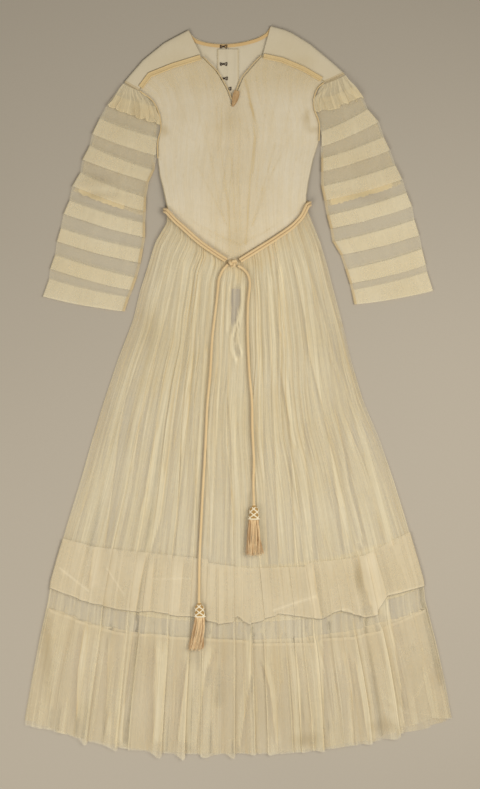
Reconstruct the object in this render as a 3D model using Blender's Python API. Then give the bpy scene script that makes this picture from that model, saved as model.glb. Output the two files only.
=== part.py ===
"""A long sheer cotton gown of about 1855, laid flat on its back.

The gown lies in the XY plane with its neck at +Y and its hem at -Y. Z is up, out of the surface
that it lies on. All sizes below are in millimetres; the meshes are made in metres.
The cloth is modelled as rigid walls of 1 to 1.3 mm that follow its large folds.
"""

import math

import bmesh
import bpy
from mathutils import Vector
from mathutils.bvhtree import BVHTree

MM = 0.001

# Wall thicknesses and the gap that two layers of cloth keep (measured along Z)
WALL = 1.2
THIN = 1.0
GAP = 0.4
SIDE_WALL = 1.7
SIDE_ROUND = 2.4

# Levels of the layers above the surface: underside and top side
BACK = (0.0, 1.1)
PLACKET = (1.5, 2.5)
LINING = (2.9, 3.9)
OVER = (4.3, 5.5)
SKIRT_TROUGH = 4.0
HEM_TROUGH = 6.0
TUCK_LIFT = 1.5

# The cord of the belt
CORD_R = 2.4
STRAND_APART = 2.65
KNOT_CLEAR = 14.5
BELT_LEFT_RUN = 170.0
BELT_RIGHT_RUN = 185.0
RIDGE_TOP = 14.5
RIDGE_FOOT = 35.0
RISE_TOP = 30.0
RISE_FOOT = 110.0

# The skirt
FOLD_COUNT = 35
WAIST_DEPTH = 2.3

# The waist seam in front, from the left side to the point and on to the right side: x, y
WAIST_LEFT = [(-137, 352), (-130, 341), (-112, 325), (-74, 291), (-27, 259), (-11, 252)]
WAIST_RIGHT = [(-11, 252), (3, 257), (51, 287), (96, 315), (122, 339), (132, 366)]
WAIST_SPLIT = 0.476

# The waist seam at the back: x, y
WAIST_BACK = [(-137, 352), (-100, 361), (-20, 371), (70, 373), (132, 366)]

# Side edges of the skirt: y, x of the left edge, x of the right edge
SKIRT_EDGES = [
    (366, -137, 132), (352, -137, 134), (330, -139, 143), (293, -161, 158), (247, -175, 172),
    (200, -190, 184), (141, -204, 200), (63, -234, 218), (-15, -260, 241), (-93, -284, 274),
    (-171, -306, 301), (-249, -330, 325), (-327, -353, 348), (-366, -364, 359), (-405, -370, 363),
    (-483, -387, 383), (-561, -402, 401), (-639, -415, 415), (-720, -418, 417),
]

# Level lines across the skirt: name, y at the left edge, in the middle, at the right edge
SKIRT_LINES = {
    "tuck_top": (-286, -338, -273),
    "tuck_edge": (-381, -448, -378),
    "hem_top": (-420, -482, -420),
    "hem_edge": (-648, -712, -634),
}

# The main pleats as they reach the hem: x at the hem, depth below the hip, depth at the hem,
# how far the steep side leans (-1 steep on the left, 1 steep on the right), drop of the edge
PLEATS = [
    (-396, 1.6, 2.6, 0.3, 0), (-350, 2.4, 3.4, -0.4, 0), (-303, 3.2, 4.0, 0.9, 6),
    (-243, 2.6, 3.2, 0.8, 3), (-205, 3.4, 2.6, -0.5, 0), (-159, 3.0, 4.2, 0.9, 7),
    (-110, 2.8, 4.0, 0.6, 8), (-64, 2.4, 2.8, -0.6, 2), (-11, 3.0, 3.6, 0.7, 4),
    (31, 2.6, 3.6, 0.5, 0), (64, 3.2, 3.0, -0.7, 0), (101, 2.4, 2.6, 0.4, 0),
    (132, 2.8, 3.2, -0.4, 0), (164, 3.6, 4.2, 0.9, 2), (216, 2.6, 2.8, -0.5, 0),
    (252, 2.8, 3.4, 0.6, 0), (306, 3.4, 4.2, 0.9, 3), (372, 1.8, 2.6, -0.3, 0),
]

# The front of the bodice, clockwise from the left end of the left shoulder seam: x, y
SEAM_LEFT = [(-195, 589), (-173, 619), (-128, 637), (-72, 654)]
V_LEFT = [(-72, 654), (-61, 643), (-47, 629), (-36, 613), (-23, 588), (-14, 560)]
V_RIGHT = [(-14, 560), (2, 596), (10, 614), (20, 626), (34, 642), (47, 656)]
SEAM_RIGHT = [(47, 656), (85, 648), (126, 631), (169, 606)]
SIDE_LEFT = [
    (-195, 589), (-167, 568), (-154, 541), (-151, 514), (-157, 488), (-157, 453), (-153, 422),
    (-147, 399), (-141, 370), (-137, 352),
]
SIDE_RIGHT = [
    (169, 606), (154, 592), (147, 573), (148, 551), (157, 524), (156, 488), (145, 453),
    (136, 410), (132, 383), (132, 366),
]
FOLD_LEFT = [(-223, 606), (-187, 648), (-145, 682), (-98, 707)]
FOLD_RIGHT = [(63, 715), (98, 705), (139, 680), (180, 646), (206, 623)]
NECK_BACK = [
    (-98, 707), (-91, 696), (-77, 687), (-56, 682), (-29, 680), (3, 683), (34, 691), (54, 702),
    (63, 715),
]
BODICE_FOLDS = 16

# Sleeve rows: name, outer x, outer y, inner x, inner y, step, lined
SLEEVE_LEFT = [
    ("cap", -222, 604, -197, 589, 0, 1), ("shoulder", -238, 586, -169, 566, 0, 1),
    ("ruffle", -255, 565, -154, 527, 0, 1),
    ("b_top", -271, 535, -157, 498, 0, 1), ("b_edge", -286, 504, -159, 462, 1, 1),
    ("c_top", -291, 481, -163, 434, 0, 1), ("c_edge", -305, 454, -174, 411, 1, 1),
    ("d_top", -309, 429, -179, 381, 0, 1), ("d_edge", -325, 402, -180, 353, 1, 1),
    ("e_top", -330, 375, -181, 331, 0, 0), ("e_edge", -342, 348, -181, 302, 1, 0),
    ("f_top", -347, 321, -185, 280, 0, 0), ("f_edge", -355, 294, -190, 252, 1, 0),
    ("g_top", -358, 269, -197, 225, 0, 0), ("g_edge", -368, 241, -206, 199, 1, 0),
    ("cuff_top", -370, 221, -212, 186, 0, 0), ("cuff_edge", -382, 187, -221, 158, 1, 0),
]
SLEEVE_RIGHT = [
    ("cap", 206, 621, 172, 605, 0, 1), ("shoulder", 224, 600, 149, 576, 0, 1),
    ("ruffle", 242, 577, 150, 549, 0, 1),
    ("b_top", 252, 553, 160, 510, 0, 1), ("b_edge", 274, 527, 160, 479, 1, 1),
    ("c_top", 283, 499, 160, 457, 0, 1), ("c_edge", 296, 472, 160, 430, 1, 1),
    ("d_top", 306, 444, 160, 403, 0, 1), ("d_edge", 320, 415, 166, 374, 1, 1),
    ("e_top", 328, 390, 171, 346, 0, 0), ("e_edge", 339, 362, 178, 319, 1, 0),
    ("f_top", 343, 338, 182, 295, 0, 0), ("f_edge", 353, 306, 198, 268, 1, 0),
    ("g_top", 358, 281, 207, 241, 0, 0), ("g_edge", 366, 248, 216, 212, 1, 0),
    ("cuff_top", 368, 235, 219, 200, 0, 0), ("cuff_edge", 380, 198, 225, 172, 1, 0),
]
SLEEVE_COLUMNS = [0.0, 0.13, 0.27, 0.41, 0.55, 0.7, 0.86, 1.0]
TUCK_STEP = 1.1

# The hanging ends of the cord, from the knot to the tassel: x, y
KNOT = (-11, 252)
CORD_LEFT_ROUTE = [
    (-21.5, 249), (-31, 238), (-38, 222), (-40, 205), (-43, 175), (-51, 107), (-55, 40),
    (-61, -27), (-63, -72), (-66, -132), (-70, -200), (-73, -260), (-76, -327), (-77, -406),
]
CORD_RIGHT_ROUTE = [
    (-1, 247), (9, 241), (18, 230), (22, 213), (20, 190), (18, 163), (18, 107), (21, 40),
    (26, -16), (27, -72), (30, -132), (29, -176), (30, -216),
]
HEAD_LENGTH = 27.0
HEAD_WIDTH = 17.0
HEAD_HEIGHT = 11.0
FRINGE_LENGTH = 68.0
# Layers of the fringe, lowest first: strands, half width at the head, half width at the tips
FRINGE = [(9, 4.7, 10.5), (12, 6.1, 13.0), (9, 4.7, 10.5)]

# The hooks on the placket: x, y
HOOKS = [(-29, 674), (-29, 640), (-28, 612), (-21, 592)]

IVORY = (0.80, 0.74, 0.56)
IVORY_LIGHT = (0.86, 0.82, 0.68)
TAN = (0.62, 0.46, 0.24)
CORD_COLOUR = (0.80, 0.62, 0.36)
PEACH = (0.83, 0.60, 0.38)
IRON = (0.10, 0.09, 0.08)


def clear_scene():
    for obj in list(bpy.data.objects):
        bpy.data.objects.remove(obj, do_unlink=True)


def material(name, colour, roughness, metallic=0.0):
    mat = bpy.data.materials.get(name)
    if mat is None:
        mat = bpy.data.materials.new(name)
        mat.use_nodes = True
        shader = mat.node_tree.nodes["Principled BSDF"]
        shader.inputs["Base Color"].default_value = (*colour, 1.0)
        shader.inputs["Roughness"].default_value = roughness
        shader.inputs["Metallic"].default_value = metallic
    return mat


def lerp(a, b, t):
    return a + (b - a) * t


def smooth(t):
    t = min(1.0, max(0.0, t))
    return t * t * (3.0 - 2.0 * t)


def table(rows, key, column):
    """Read a column of a table at a key between its rows (keys rise or fall steadily)."""
    rising = rows[-1][0] > rows[0][0]
    ordered = rows if rising else rows[::-1]
    if key <= ordered[0][0]:
        return ordered[0][column]
    for low, high in zip(ordered, ordered[1:]):
        if key <= high[0]:
            t = (key - low[0]) / (high[0] - low[0])
            return lerp(low[column], high[column], t)
    return ordered[-1][column]


def along(points, t):
    """The point at the share t of a polyline's length."""
    lengths = [math.dist(a[:2], b[:2]) for a, b in zip(points, points[1:])]
    goal = min(1.0, max(0.0, t)) * sum(lengths)
    for a, b, length in zip(points, points[1:], lengths):
        if goal <= length:
            s = goal / length
            return tuple(lerp(p, q, s) for p, q in zip(a, b))
        goal -= length
    return tuple(points[-1])


def hump(x, y, top, foot):
    off = abs(y - table(WAIST_BACK, x, 1))
    height = 2 * CORD_R + GAP + 0.1
    return height * min(1.0, max(0.0, (foot - off) / (foot - top)))


def base(x, y):
    """How far the back is lifted where the belt's cord runs under it."""
    return hump(x, y, RIDGE_TOP, RIDGE_FOOT)


def rise(x, y):
    """How far the front layers are lifted there: the same height, in a wider slope."""
    return hump(x, y, RISE_TOP, RISE_FOOT)


def link(name, mesh, mat):
    obj = bpy.data.objects.new(name, mesh)
    GOWN.objects.link(obj)
    if mat.name not in [m.name for m in mesh.materials if m]:
        mesh.materials.append(mat)
    return obj


def wall(name, outer, inner, mat, around=False, keep=None):
    """A wall of cloth between two grids of points: a loft that no primitive makes.

    outer and inner are rows of points in millimetres. With around, each row closes on itself.
    keep(row, column) leaves out cells, and every free edge gets a rim.
    """
    rows, cols = len(outer), len(outer[0])
    cells = []
    for i in range(rows - 1):
        for j in range(cols if around else cols - 1):
            if keep is None or keep(i, j):
                cells.append((i, j))
    bm = bmesh.new()
    made = {}

    def vert(side, i, j):
        key = (side, i, j % cols)
        if key not in made:
            grid = outer if side == 0 else inner
            made[key] = bm.verts.new(Vector(grid[i][j % cols]) * MM)
        return made[key]

    edges = {}
    for i, j in cells:
        corners = [(i, j), (i + 1, j), (i + 1, j + 1), (i, j + 1)]
        for trio in ((0, 1, 2), (0, 2, 3)):
            bm.faces.new([vert(0, *corners[k]) for k in trio])
            bm.faces.new([vert(1, *corners[k]) for k in reversed(trio)])
        for p, q in zip(corners, corners[1:] + corners[:1]):
            p, q = (p[0], p[1] % cols), (q[0], q[1] % cols)
            edges[(p, q)] = True
    for p, q in edges:
        if (q, p) not in edges:
            bm.faces.new([vert(0, *q), vert(0, *p), vert(1, *p)])
            bm.faces.new([vert(0, *q), vert(1, *p), vert(1, *q)])
    mesh = bpy.data.meshes.new(name)
    bm.to_mesh(mesh)
    bm.free()
    return link(name, mesh, mat)


def tube_ring(left, right, front, back, inset, into, lift=0.0):
    """One closed row of a flattened tube.

    front and back list (x, y, z) from left to right; the end points of each are set in from the
    side points left and right, which lie half way up. into moves the end points inwards.
    """
    front = [list(p) for p in front]
    back = [list(p) for p in back]
    across = Vector((right[0] - left[0], right[1] - left[1])).normalized()
    for line in (front, back):
        step = SIDE_ROUND + into
        for end, near in ((0, 1), (-1, -2)):
            a, b = line[end], line[near]
            t = step / max(step, math.dist(a[:2], b[:2]))
            a[0], a[1] = lerp(a[0], b[0], t), lerp(a[1], b[1], t)
    mid_left = (left[0] + across.x * inset, left[1] + across.y * inset,
                (front[0][2] + back[0][2]) / 2 + lift)
    mid_right = (right[0] - across.x * inset, right[1] - across.y * inset,
                 (front[-1][2] + back[-1][2]) / 2 + lift)
    return [mid_left] + front + [mid_right] + back[::-1]


def curve_tube(name, points, radius, mat, resolution=2):
    """A cord: a poly curve with a round bevel and filled caps."""
    data = bpy.data.curves.new(name, "CURVE")
    data.dimensions = "3D"
    data.bevel_depth = radius * MM
    data.bevel_resolution = resolution
    data.use_fill_caps = True
    spline = data.splines.new("POLY")
    spline.points.add(len(points) - 1)
    for target, point in zip(spline.points, points):
        target.co = (point[0] * MM, point[1] * MM, point[2] * MM, 1.0)
    obj = bpy.data.objects.new(name, data)
    GOWN.objects.link(obj)
    data.materials.append(mat)
    return obj


def spaced(points, step):
    """Points at an even spacing on a smooth curve through the given ones (Catmull-Rom)."""
    pts = [Vector(p) for p in points]
    pts = [2 * pts[0] - pts[1]] + pts + [2 * pts[-1] - pts[-2]]
    fine = []
    for a, b, c, d in zip(pts, pts[1:], pts[2:], pts[3:]):
        for k in range(16):
            t = k / 16
            fine.append(0.5 * ((2 * b) + (c - a) * t + (2 * a - 5 * b + 4 * c - d) * t * t
                               + (3 * b - a - 3 * c + d) * t ** 3))
    fine.append(pts[-2])
    total = sum((q - p).length for p, q in zip(fine, fine[1:]))
    count = max(2, round(total / step))
    result, done, k = [fine[0]], 0.0, 1
    for p, q in zip(fine, fine[1:]):
        length = (q - p).length
        while k < count and done + length >= total * k / count:
            t = (total * k / count - done) / length
            result.append(p.lerp(q, t))
            k += 1
        done += length
    result.append(fine[-1])
    return [tuple(p) for p in result]


def through(points, step):
    """A smooth curve through the given points, each stretch cut into steps."""
    pts = [Vector(p) for p in points]
    pts = [2 * pts[0] - pts[1]] + pts + [2 * pts[-1] - pts[-2]]
    result = []
    for a, b, c, d in zip(pts, pts[1:], pts[2:], pts[3:]):
        count = max(1, math.ceil((c - b).length / step - 0.2))
        near = min(1.0, (c - b).length / max(1e-6, (b - a).length))
        far = min(1.0, (c - b).length / max(1e-6, (d - c).length))
        start, stop = (c - a) / 2 * near, (d - b) / 2 * far
        for k in range(count):
            t = k / count
            result.append((2 * t ** 3 - 3 * t * t + 1) * b + (t ** 3 - 2 * t * t + t) * start
                          + (3 * t * t - 2 * t ** 3) * c + (t ** 3 - t * t) * stop)
    result.append(pts[-2])
    return [tuple(p) for p in result]


# The skirt: places of the folds, level lines and heights

def level(name, s):
    left, middle, right = SKIRT_LINES[name]
    ends = lerp(left, right, s)
    return ends + (middle - (left + right) / 2) * (1 - abs(2 * s - 1) ** 2.4)


def waist_front(s):
    if s <= WAIST_SPLIT:
        return along(WAIST_LEFT, s / WAIST_SPLIT)
    return along(WAIST_RIGHT, (s - WAIST_SPLIT) / (1 - WAIST_SPLIT))


SKIRT_ROWS = [
    ("waist", 0.0), ("band", 0.02), ("yoke", 0.06), ("gather", 0.15), ("hip", 0.3), ("thigh", 0.5),
    ("knee", 0.75),
    ("tuck_top", 1.0), ("tuck_edge", 1.0), ("hem_top", 1.0), ("hem_edge", 1.0),
]


def edge_x(y, side):
    return table(SKIRT_EDGES, y, 1 + side)


def fold_places(down):
    """Shares across the skirt of the troughs and peaks, from even at the waist to the pleats."""
    hem_left, hem_right = edge_x(-648, 0), edge_x(-634, 1)
    main = [(p[0] - hem_left) / (hem_right - hem_left) for p in PLEATS]
    hem = []
    for a, b in zip(main, main[1:]):
        hem += [a, (a + b) / 2]
    hem.append(main[-1])
    w = smooth(down)
    peaks = [lerp((k + 0.5) / FOLD_COUNT, hem[k], w) for k in range(FOLD_COUNT)]
    places = [0.0]
    for k in range(FOLD_COUNT):
        places.append(peaks[k])
        if k < FOLD_COUNT - 1:
            lean = PLEATS[k // 2][3] if k % 2 == 0 else -PLEATS[(k + 1) // 2][3]
            sign = 1 if k % 2 == 0 else -1
            places.append(lerp(peaks[k], peaks[k + 1], 0.5 - 0.22 * lean * w * sign))
    places.append(1.0)
    return places


def fold_depth(k, name, down):
    """The depth of fold k at a row: even at the waist, main pleats and lesser ones below."""
    pleat = PLEATS[k // 2]
    rank = 1.0 if k % 2 == 0 else 0.45
    if name in SKIRT_LINES:
        t = {"tuck_top": 0.2, "tuck_edge": 0.4, "hem_top": 0.5, "hem_edge": 1.0}[name]
        depth = lerp(pleat[1], pleat[2], t) * rank
    else:
        depth = lerp(WAIST_DEPTH, pleat[1] * rank, smooth(down * 1.4))
    if k in (0, FOLD_COUNT - 1):
        depth *= 0.35
    return depth


def skirt_lift(name):
    """The height of the wall's top in the troughs, above the back's underside."""
    return {
        "waist": SKIRT_TROUGH, "band": SKIRT_TROUGH + 0.1,
        "yoke": SKIRT_TROUGH + 0.3, "gather": SKIRT_TROUGH + 0.5,
        "hip": SKIRT_TROUGH + 0.5, "thigh": SKIRT_TROUGH + 0.3, "knee": SKIRT_TROUGH,
        "tuck_top": SKIRT_TROUGH, "tuck_edge": SKIRT_TROUGH + 0.3, "hem_top": HEM_TROUGH,
        "hem_edge": HEM_TROUGH,
    }[name]


def skirt_floor(name, x, y, lift):
    if name in ("tuck_top", "tuck_edge"):
        return TUCK_LIFT
    return lift(x, y)


def hem_drop(k):
    return PLEATS[k // 2][4] if k % 2 == 0 else 0


def skirt_row(name, down):
    """The front and back lines of one level of the skirt, outer surface."""
    front, back = [], []
    places = fold_places(down)
    for j, s in enumerate(places):
        if name in SKIRT_LINES:
            y = level(name, s)
            y_left, y_right = level(name, 0), level(name, 1)
        else:
            top_x, top_y = waist_front(s)
            y = lerp(top_y, level("tuck_top", s), down)
            y_left = lerp(WAIST_LEFT[0][1], level("tuck_top", 0), down)
            y_right = lerp(WAIST_RIGHT[-1][1], level("tuck_top", 1), down)
        x = lerp(edge_x(y_left, 0), edge_x(y_right, 1), s)
        if name not in SKIRT_LINES:
            start = (waist_front(s)[0] - WAIST_LEFT[0][0]) / (WAIST_RIGHT[-1][0] - WAIST_LEFT[0][0])
            share = lerp(start, s, smooth(down * 1.6))
            x = lerp(edge_x(y_left, 0), edge_x(y_right, 1), share)
        z = skirt_lift(name) + skirt_floor(name, x, y, rise)
        peak = j % 2 == 1
        if peak:
            k = (j - 1) // 2
            z += fold_depth(k, name, down)
            if name == "hem_edge":
                y -= hem_drop(k)
        front.append((x, y, z))
    for s in (0.0, 0.08, 0.22, 0.36, 0.5, 0.64, 0.78, 0.92, 1.0):
        if name in SKIRT_LINES:
            y = level(name, s)
            x = lerp(edge_x(level(name, 0), 0), edge_x(level(name, 1), 1), s)
        else:
            x0, y0 = along(WAIST_BACK, s)
            y = lerp(y0, level("tuck_top", s), down)
            y_left = lerp(WAIST_BACK[0][1], level("tuck_top", 0), down)
            y_right = lerp(WAIST_BACK[-1][1], level("tuck_top", 1), down)
            x = lerp(edge_x(y_left, 0), edge_x(y_right, 1), s)
        back.append((x, y, skirt_floor(name, x, y, base)))
    return front, back


def shifted(line, dz, dy=0.0):
    return [(x, y + dy, z + dz) for x, y, z in line]


def skirt_rings(front, back, out, thick, up, down_z):
    """Outer and inner rings of a layer that lies out (in Z) from the skirt's own surface."""
    left, right = front[0], front[-1]
    outer = tube_ring(left, right, shifted(front, up), shifted(back, down_z), -out, -out)
    inner = tube_ring(left, right, shifted(front, up - thick), shifted(back, down_z + thick),
                      SIDE_WALL - out, 0.6 - out)
    return outer, inner


def make_skirt(cloth):
    outer, inner = [], []
    for name, down in SKIRT_ROWS:
        front, back = skirt_row(name, down)
        if name == "waist":
            front, back = shifted(front, 0, -0.5), shifted(back, 0, -0.5)
        a, b = skirt_rings(front, back, 0.0, WALL, 0.0, 0.0)
        outer.append(a)
        inner.append(b)
    skirt = wall("skirt", outer, inner, cloth, around=True)

    outer, inner = [], []
    for name in ("tuck_top", "tuck_edge"):
        front, back = skirt_row(name, 1.0)
        a, b = skirt_rings(front, back, 2.2, 1.1, GAP + 1.1, -TUCK_LIFT)
        outer.append(a)
        inner.append(b)
    tuck = wall("skirt_tuck", outer, inner, cloth, around=True)

    outer, inner = [], []
    for name in ("hem_top", "hem_edge"):
        front, back = skirt_row(name, 1.0)
        if name == "hem_edge":
            front, back = shifted(front, 0, 1.2), shifted(back, 0, 1.2)
        if name == "hem_top":
            front, back = shifted(front, 0, -1.5), shifted(back, 0, -1.5)
        up = -WALL - GAP
        a, b = skirt_rings(front, back, -2.4, THIN, up, WALL + GAP)
        outer.append(a)
        inner.append(b)
    wall("skirt_hem", outer, inner, cloth, around=True)
    return skirt, tuck


# The bodice

def coons(u, v, top, bottom, left, right):
    """A point of the patch between four edges, each a function of its share."""
    t, b = Vector(top(u)), Vector(bottom(u))
    l, r = Vector(left(v)), Vector(right(v))
    corners = (Vector(top(0)) * (1 - u) * (1 - v) + Vector(top(1)) * u * (1 - v)
               + Vector(bottom(0)) * (1 - u) * v + Vector(bottom(1)) * u * v)
    p = t * (1 - v) + b * v + l * (1 - u) + r * u - corners
    return p.x, p.y


def bodice_top(u):
    if u <= WAIST_SPLIT:
        return along(SEAM_LEFT + V_LEFT[1:], u / WAIST_SPLIT)
    return along(V_RIGHT + SEAM_RIGHT[1:], (u - WAIST_SPLIT) / (1 - WAIST_SPLIT))


def bodice_point(u, v, inset=0.6):
    """A point of the bodice front, pulled in a little from its edges."""
    x, y = coons(u, v, bodice_top, waist_front,
                 lambda t: along(SIDE_LEFT, t), lambda t: along(SIDE_RIGHT, t))
    x += inset * (1 - 2 * u)
    y += inset * (1 - v) * -1 + inset * v
    return x, y


BODICE_ROWS = [0.0, 0.1, 0.25, 0.42, 0.6, 0.8, 1.0]


def bodice_fold(k, v):
    """Depth of the gathered folds of the overlay: deepest in the middle of the front."""
    middle = 1 - abs((k + 0.5) / BODICE_FOLDS - 0.48) * 2
    strength = 0.5 + 1.5 * smooth(middle * 1.3)
    uneven = (1.0, 0.6, 0.85, 0.5)[k % 4]
    profile = lerp(0.3, 1.0, smooth(v / 0.4)) * lerp(1.0, 0.45, smooth((v - 0.6) / 0.4))
    return strength * uneven * profile


def make_bodice(cloth, lining):
    columns = 2 * BODICE_FOLDS + 1
    outer, inner = [], []
    for v in BODICE_ROWS:
        top, under = [], []
        for j in range(columns):
            u = j / (columns - 1)
            x, y = bodice_point(u, v)
            z = OVER[1] + rise(x, y)
            if j % 2 == 1:
                z += bodice_fold((j - 1) // 2, v)
            top.append((x, y, z))
            under.append((x, y, z - WALL))
        outer.append(top)
        inner.append(under)
    wall("bodice_front", outer, inner, cloth)

    outer, inner = [], []
    for v in (0.0, 0.1, 0.25, 0.42, 0.6, 0.8, 1.0):
        top, under = [], []
        for j in range(0, columns, 2):
            u = j / (columns - 1)
            x, y = bodice_point(u, v, 1.2)
            z = LINING[1] + rise(x, y)
            top.append((x, y, z))
            under.append((x, y, z - THIN))
        outer.append(top)
        inner.append(under)
    wall("bodice_lining", outer, inner, lining)


def back_panel(name, columns, side, levels, mat):
    """A back of the bodice. columns: waist point, upper point, seam point or None, share from side."""
    rows = ["seam", "ridge", "slope"] + levels
    outer, inner = [], []
    side_start, side_end = Vector(side[0]), Vector(side[-1])

    def flat(column, v):
        waist, upper, _, share = column
        length = math.dist(waist, upper)
        v = {"seam": 0.0, "ridge": (RIDGE_TOP - 0.8) / length, "slope": (RIDGE_FOOT + 1) / length}.get(v, v)
        edge = Vector(along(side, v))
        plain = side_start.lerp(side_end, v)
        return Vector(waist).lerp(Vector(upper), v) + (edge - plain) * (1 - share) ** 2

    for v in rows:
        low, high = [], []
        for column in columns:
            p = flat(column, v)
            z = base(p.x, p.y)
            low.append((p.x, p.y, z + BACK[0]))
            high.append((p.x, p.y, z + BACK[1]))
        outer.append(low)
        inner.append(high)
    turn = 3.2
    lines = {key: ([], []) for key in ("edge", "fold", "over", "seam")}
    for column in columns:
        waist, upper, seam, _ = column
        up = Vector(upper)
        way = (Vector(seam) - up).normalized() if seam else Vector((0, -1))
        edge = up + way * (turn if seam else 0.0)
        lines["edge"][0].append((edge.x, edge.y, 0.0))
        lines["edge"][1].append((edge.x + way.x * 0.8, edge.y + way.y * 0.8, BACK[1]))
        lines["fold"][0].append((up.x, up.y, 2.3))
        lines["fold"][1].append((up.x + way.x * 1.8, up.y + way.y * 1.8, 2.3))
        over = up + way * (turn + 0.6)
        lines["over"][0].append((over.x, over.y, 4.6))
        lines["over"][1].append((over.x + way.x * 0.6, over.y + way.y * 0.6, 3.4))
        end = Vector(seam) - way * 0.5 if seam else up + way * 20
        lines["seam"][0].append((end.x, end.y, OVER[1]))
        lines["seam"][1].append((end.x, end.y, OVER[0]))
    for key in ("edge", "fold", "over", "seam"):
        outer.append(lines[key][0])
        inner.append(lines[key][1])

    def keep(i, j):
        if i < len(rows):
            return True
        return bool(columns[j][2]) and bool(columns[j + 1][2])

    return wall(name, outer, inner, mat, keep=keep)


def neck_share(points, x):
    return table([(p[0], p[1]) for p in points], x, 1)


def make_backs(cloth):
    split = -20.0
    columns = []
    for q in (0.0, 0.25, 0.5, 0.75, 1.0):
        upper, seam = along(FOLD_LEFT, q), along(SEAM_LEFT, q)
        columns.append([None, upper, seam, 0.6 * q])
    for x in (-89, -72, -46, split - 0.3):
        columns.append([None, (x, neck_share(NECK_BACK, x)), None, 0.6 + 0.4 * (x + 98) / 78])
    for k, column in enumerate(columns):
        share = k / (len(columns) - 1)
        x = lerp(-136.4, split - 0.3, share)
        column[0] = (x, table(WAIST_BACK, x, 1) + 0.5)
    side = [(-136.4, 352.9), (-141, 370), (-147, 399), (-153, 422), (-156.4, 453), (-156.4, 488),
            (-150.4, 514), (-153.4, 541), (-166.4, 567), (-194.5, 588), (-222, 605.5)]
    back_panel("bodice_back_l", columns, side, [0.36, 0.57, 0.66, 0.76, 0.885], cloth)

    columns = []
    for x in (split + 0.3, 8, 34, 52):
        columns.append([None, (x, neck_share(NECK_BACK, x)), None, 0.6 + 0.4 * (63 - x) / 83])
    for q in (0.0, 0.25, 0.5, 0.75, 1.0):
        upper, seam = along(FOLD_RIGHT, q), along(SEAM_RIGHT, q)
        columns.append([None, upper, seam, 0.6 * (1 - q)])
    for k, column in enumerate(columns):
        share = k / (len(columns) - 1)
        x = lerp(split + 0.3, 131.4, share)
        column[0] = (x, table(WAIST_BACK, x, 1) + 0.5)
    side = [(131.4, 366.6), (131.4, 383), (135.4, 410), (144.4, 453), (155.4, 488), (156.4, 524),
            (147.4, 551), (146.4, 573), (153.4, 592), (168.5, 605), (205.5, 622.5)]
    back_panel("bodice_back_r", columns, side, [0.3, 0.43, 0.55, 0.65, 0.72, 0.8, 0.87], cloth)


def strip(name, line, width, low, high, mat, ridges=0, side=0.0):
    """A flat strip of cloth or tape along a line of (x, y); ridges raises its piped edges."""
    outer, inner = [], []
    shares = (-0.5, -0.35, -0.2, 0.0, 0.2, 0.35, 0.5) if ridges else (-0.5, 0.5)
    raised = (0.2, 1.0, 0.35, 0.0, 0.35, 1.0, 0.2)
    for k, point in enumerate(line):
        before, after = line[max(0, k - 1)], line[min(len(line) - 1, k + 1)]
        way = Vector((after[0] - before[0], after[1] - before[1])).normalized()
        normal = Vector((-way.y, way.x))
        top, under = [], []
        for n, share in enumerate(shares):
            off = share * width + side
            x, y = point[0] + normal.x * off, point[1] + normal.y * off
            top.append((x, y, high + (ridges * raised[n] if ridges else 0.0)))
            under.append((x, y, low))
        outer.append(top)
        inner.append(under)
    return wall(name, outer, inner, mat)


def between(points, start, end, count):
    return [along(points, lerp(start, end, k / (count - 1))) for k in range(count)]


def make_trims(cloth, tan, iron):
    low = OVER[1] + 0.7 + GAP
    strip("shoulder_band_l", between(SEAM_LEFT, 0.05, 0.985, 7), 10.5, low, low + 1.1, cloth, 1.1)
    strip("shoulder_band_r", between(SEAM_RIGHT, 0.015, 0.94, 7), 10.5, low, low + 1.1, cloth, 1.1)

    left = [(-192, 587), (-167.3, 568), (-154.3, 541), (-151.3, 514), (-157.3, 488), (-157.3, 456)]
    right = [(166, 603.5), (154, 592), (147.3, 573), (148.3, 551), (157.3, 524), (156.8, 490)]
    z = OVER[1] + GAP + 1.4
    curve_tube("armhole_piping_l", spaced([(x, y, z) for x, y in left], 13), 1.3, cloth)
    curve_tube("armhole_piping_r", spaced([(x, y, z) for x, y in right], 13), 1.3, cloth)

    out = 2.4
    vee = [(-68.3, 653.7), (-60 + out, 642.5), (-46 + out, 628.5), (-35 + out, 612.5),
           (-22 + out, 588), (-12.6, 572), (2 - out, 599), (10 - out, 616), (20 - out, 628),
           (34 - out, 644), (44.2, 656.4)]
    curve_tube("neck_piping", [(x, y, 5.2) for x, y in vee], 1.0, cloth)

    tape = [(-84, 690), (-77, 686), (-56, 681), (-29, 679), (3, 682), (34, 690), (52, 699.5)]
    strip("neck_tape", tape, 6.5, PLACKET[0], PLACKET[1], tan, 0, -3.5)
    placket = [(-20.5, 669), (-20.5, 600), (-20.5, 520), (-20.5, 411)]
    strip("back_placket", placket, 42, PLACKET[0], PLACKET[1], cloth)
    strip("neck_tab", [(-5, 588), (-6, 578), (-8, 566), (-9, 558)], 9, 7.0, 8.0, tan)

    for n, (x, y) in enumerate(HOOKS, 1):
        z = PLACKET[1] + 0.8
        loop = [(x + 1.5, y + 2.2, z), (x - 2.5, y + 1.9, z), (x - 4.0, y, z), (x - 2.5, y - 1.9, z),
                (x + 1.0, y - 1.4, z), (x + 4.0, y - 1.1, z)]
        curve_tube("hook_%d" % n, loop, 0.5, iron)


# The sleeves

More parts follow.
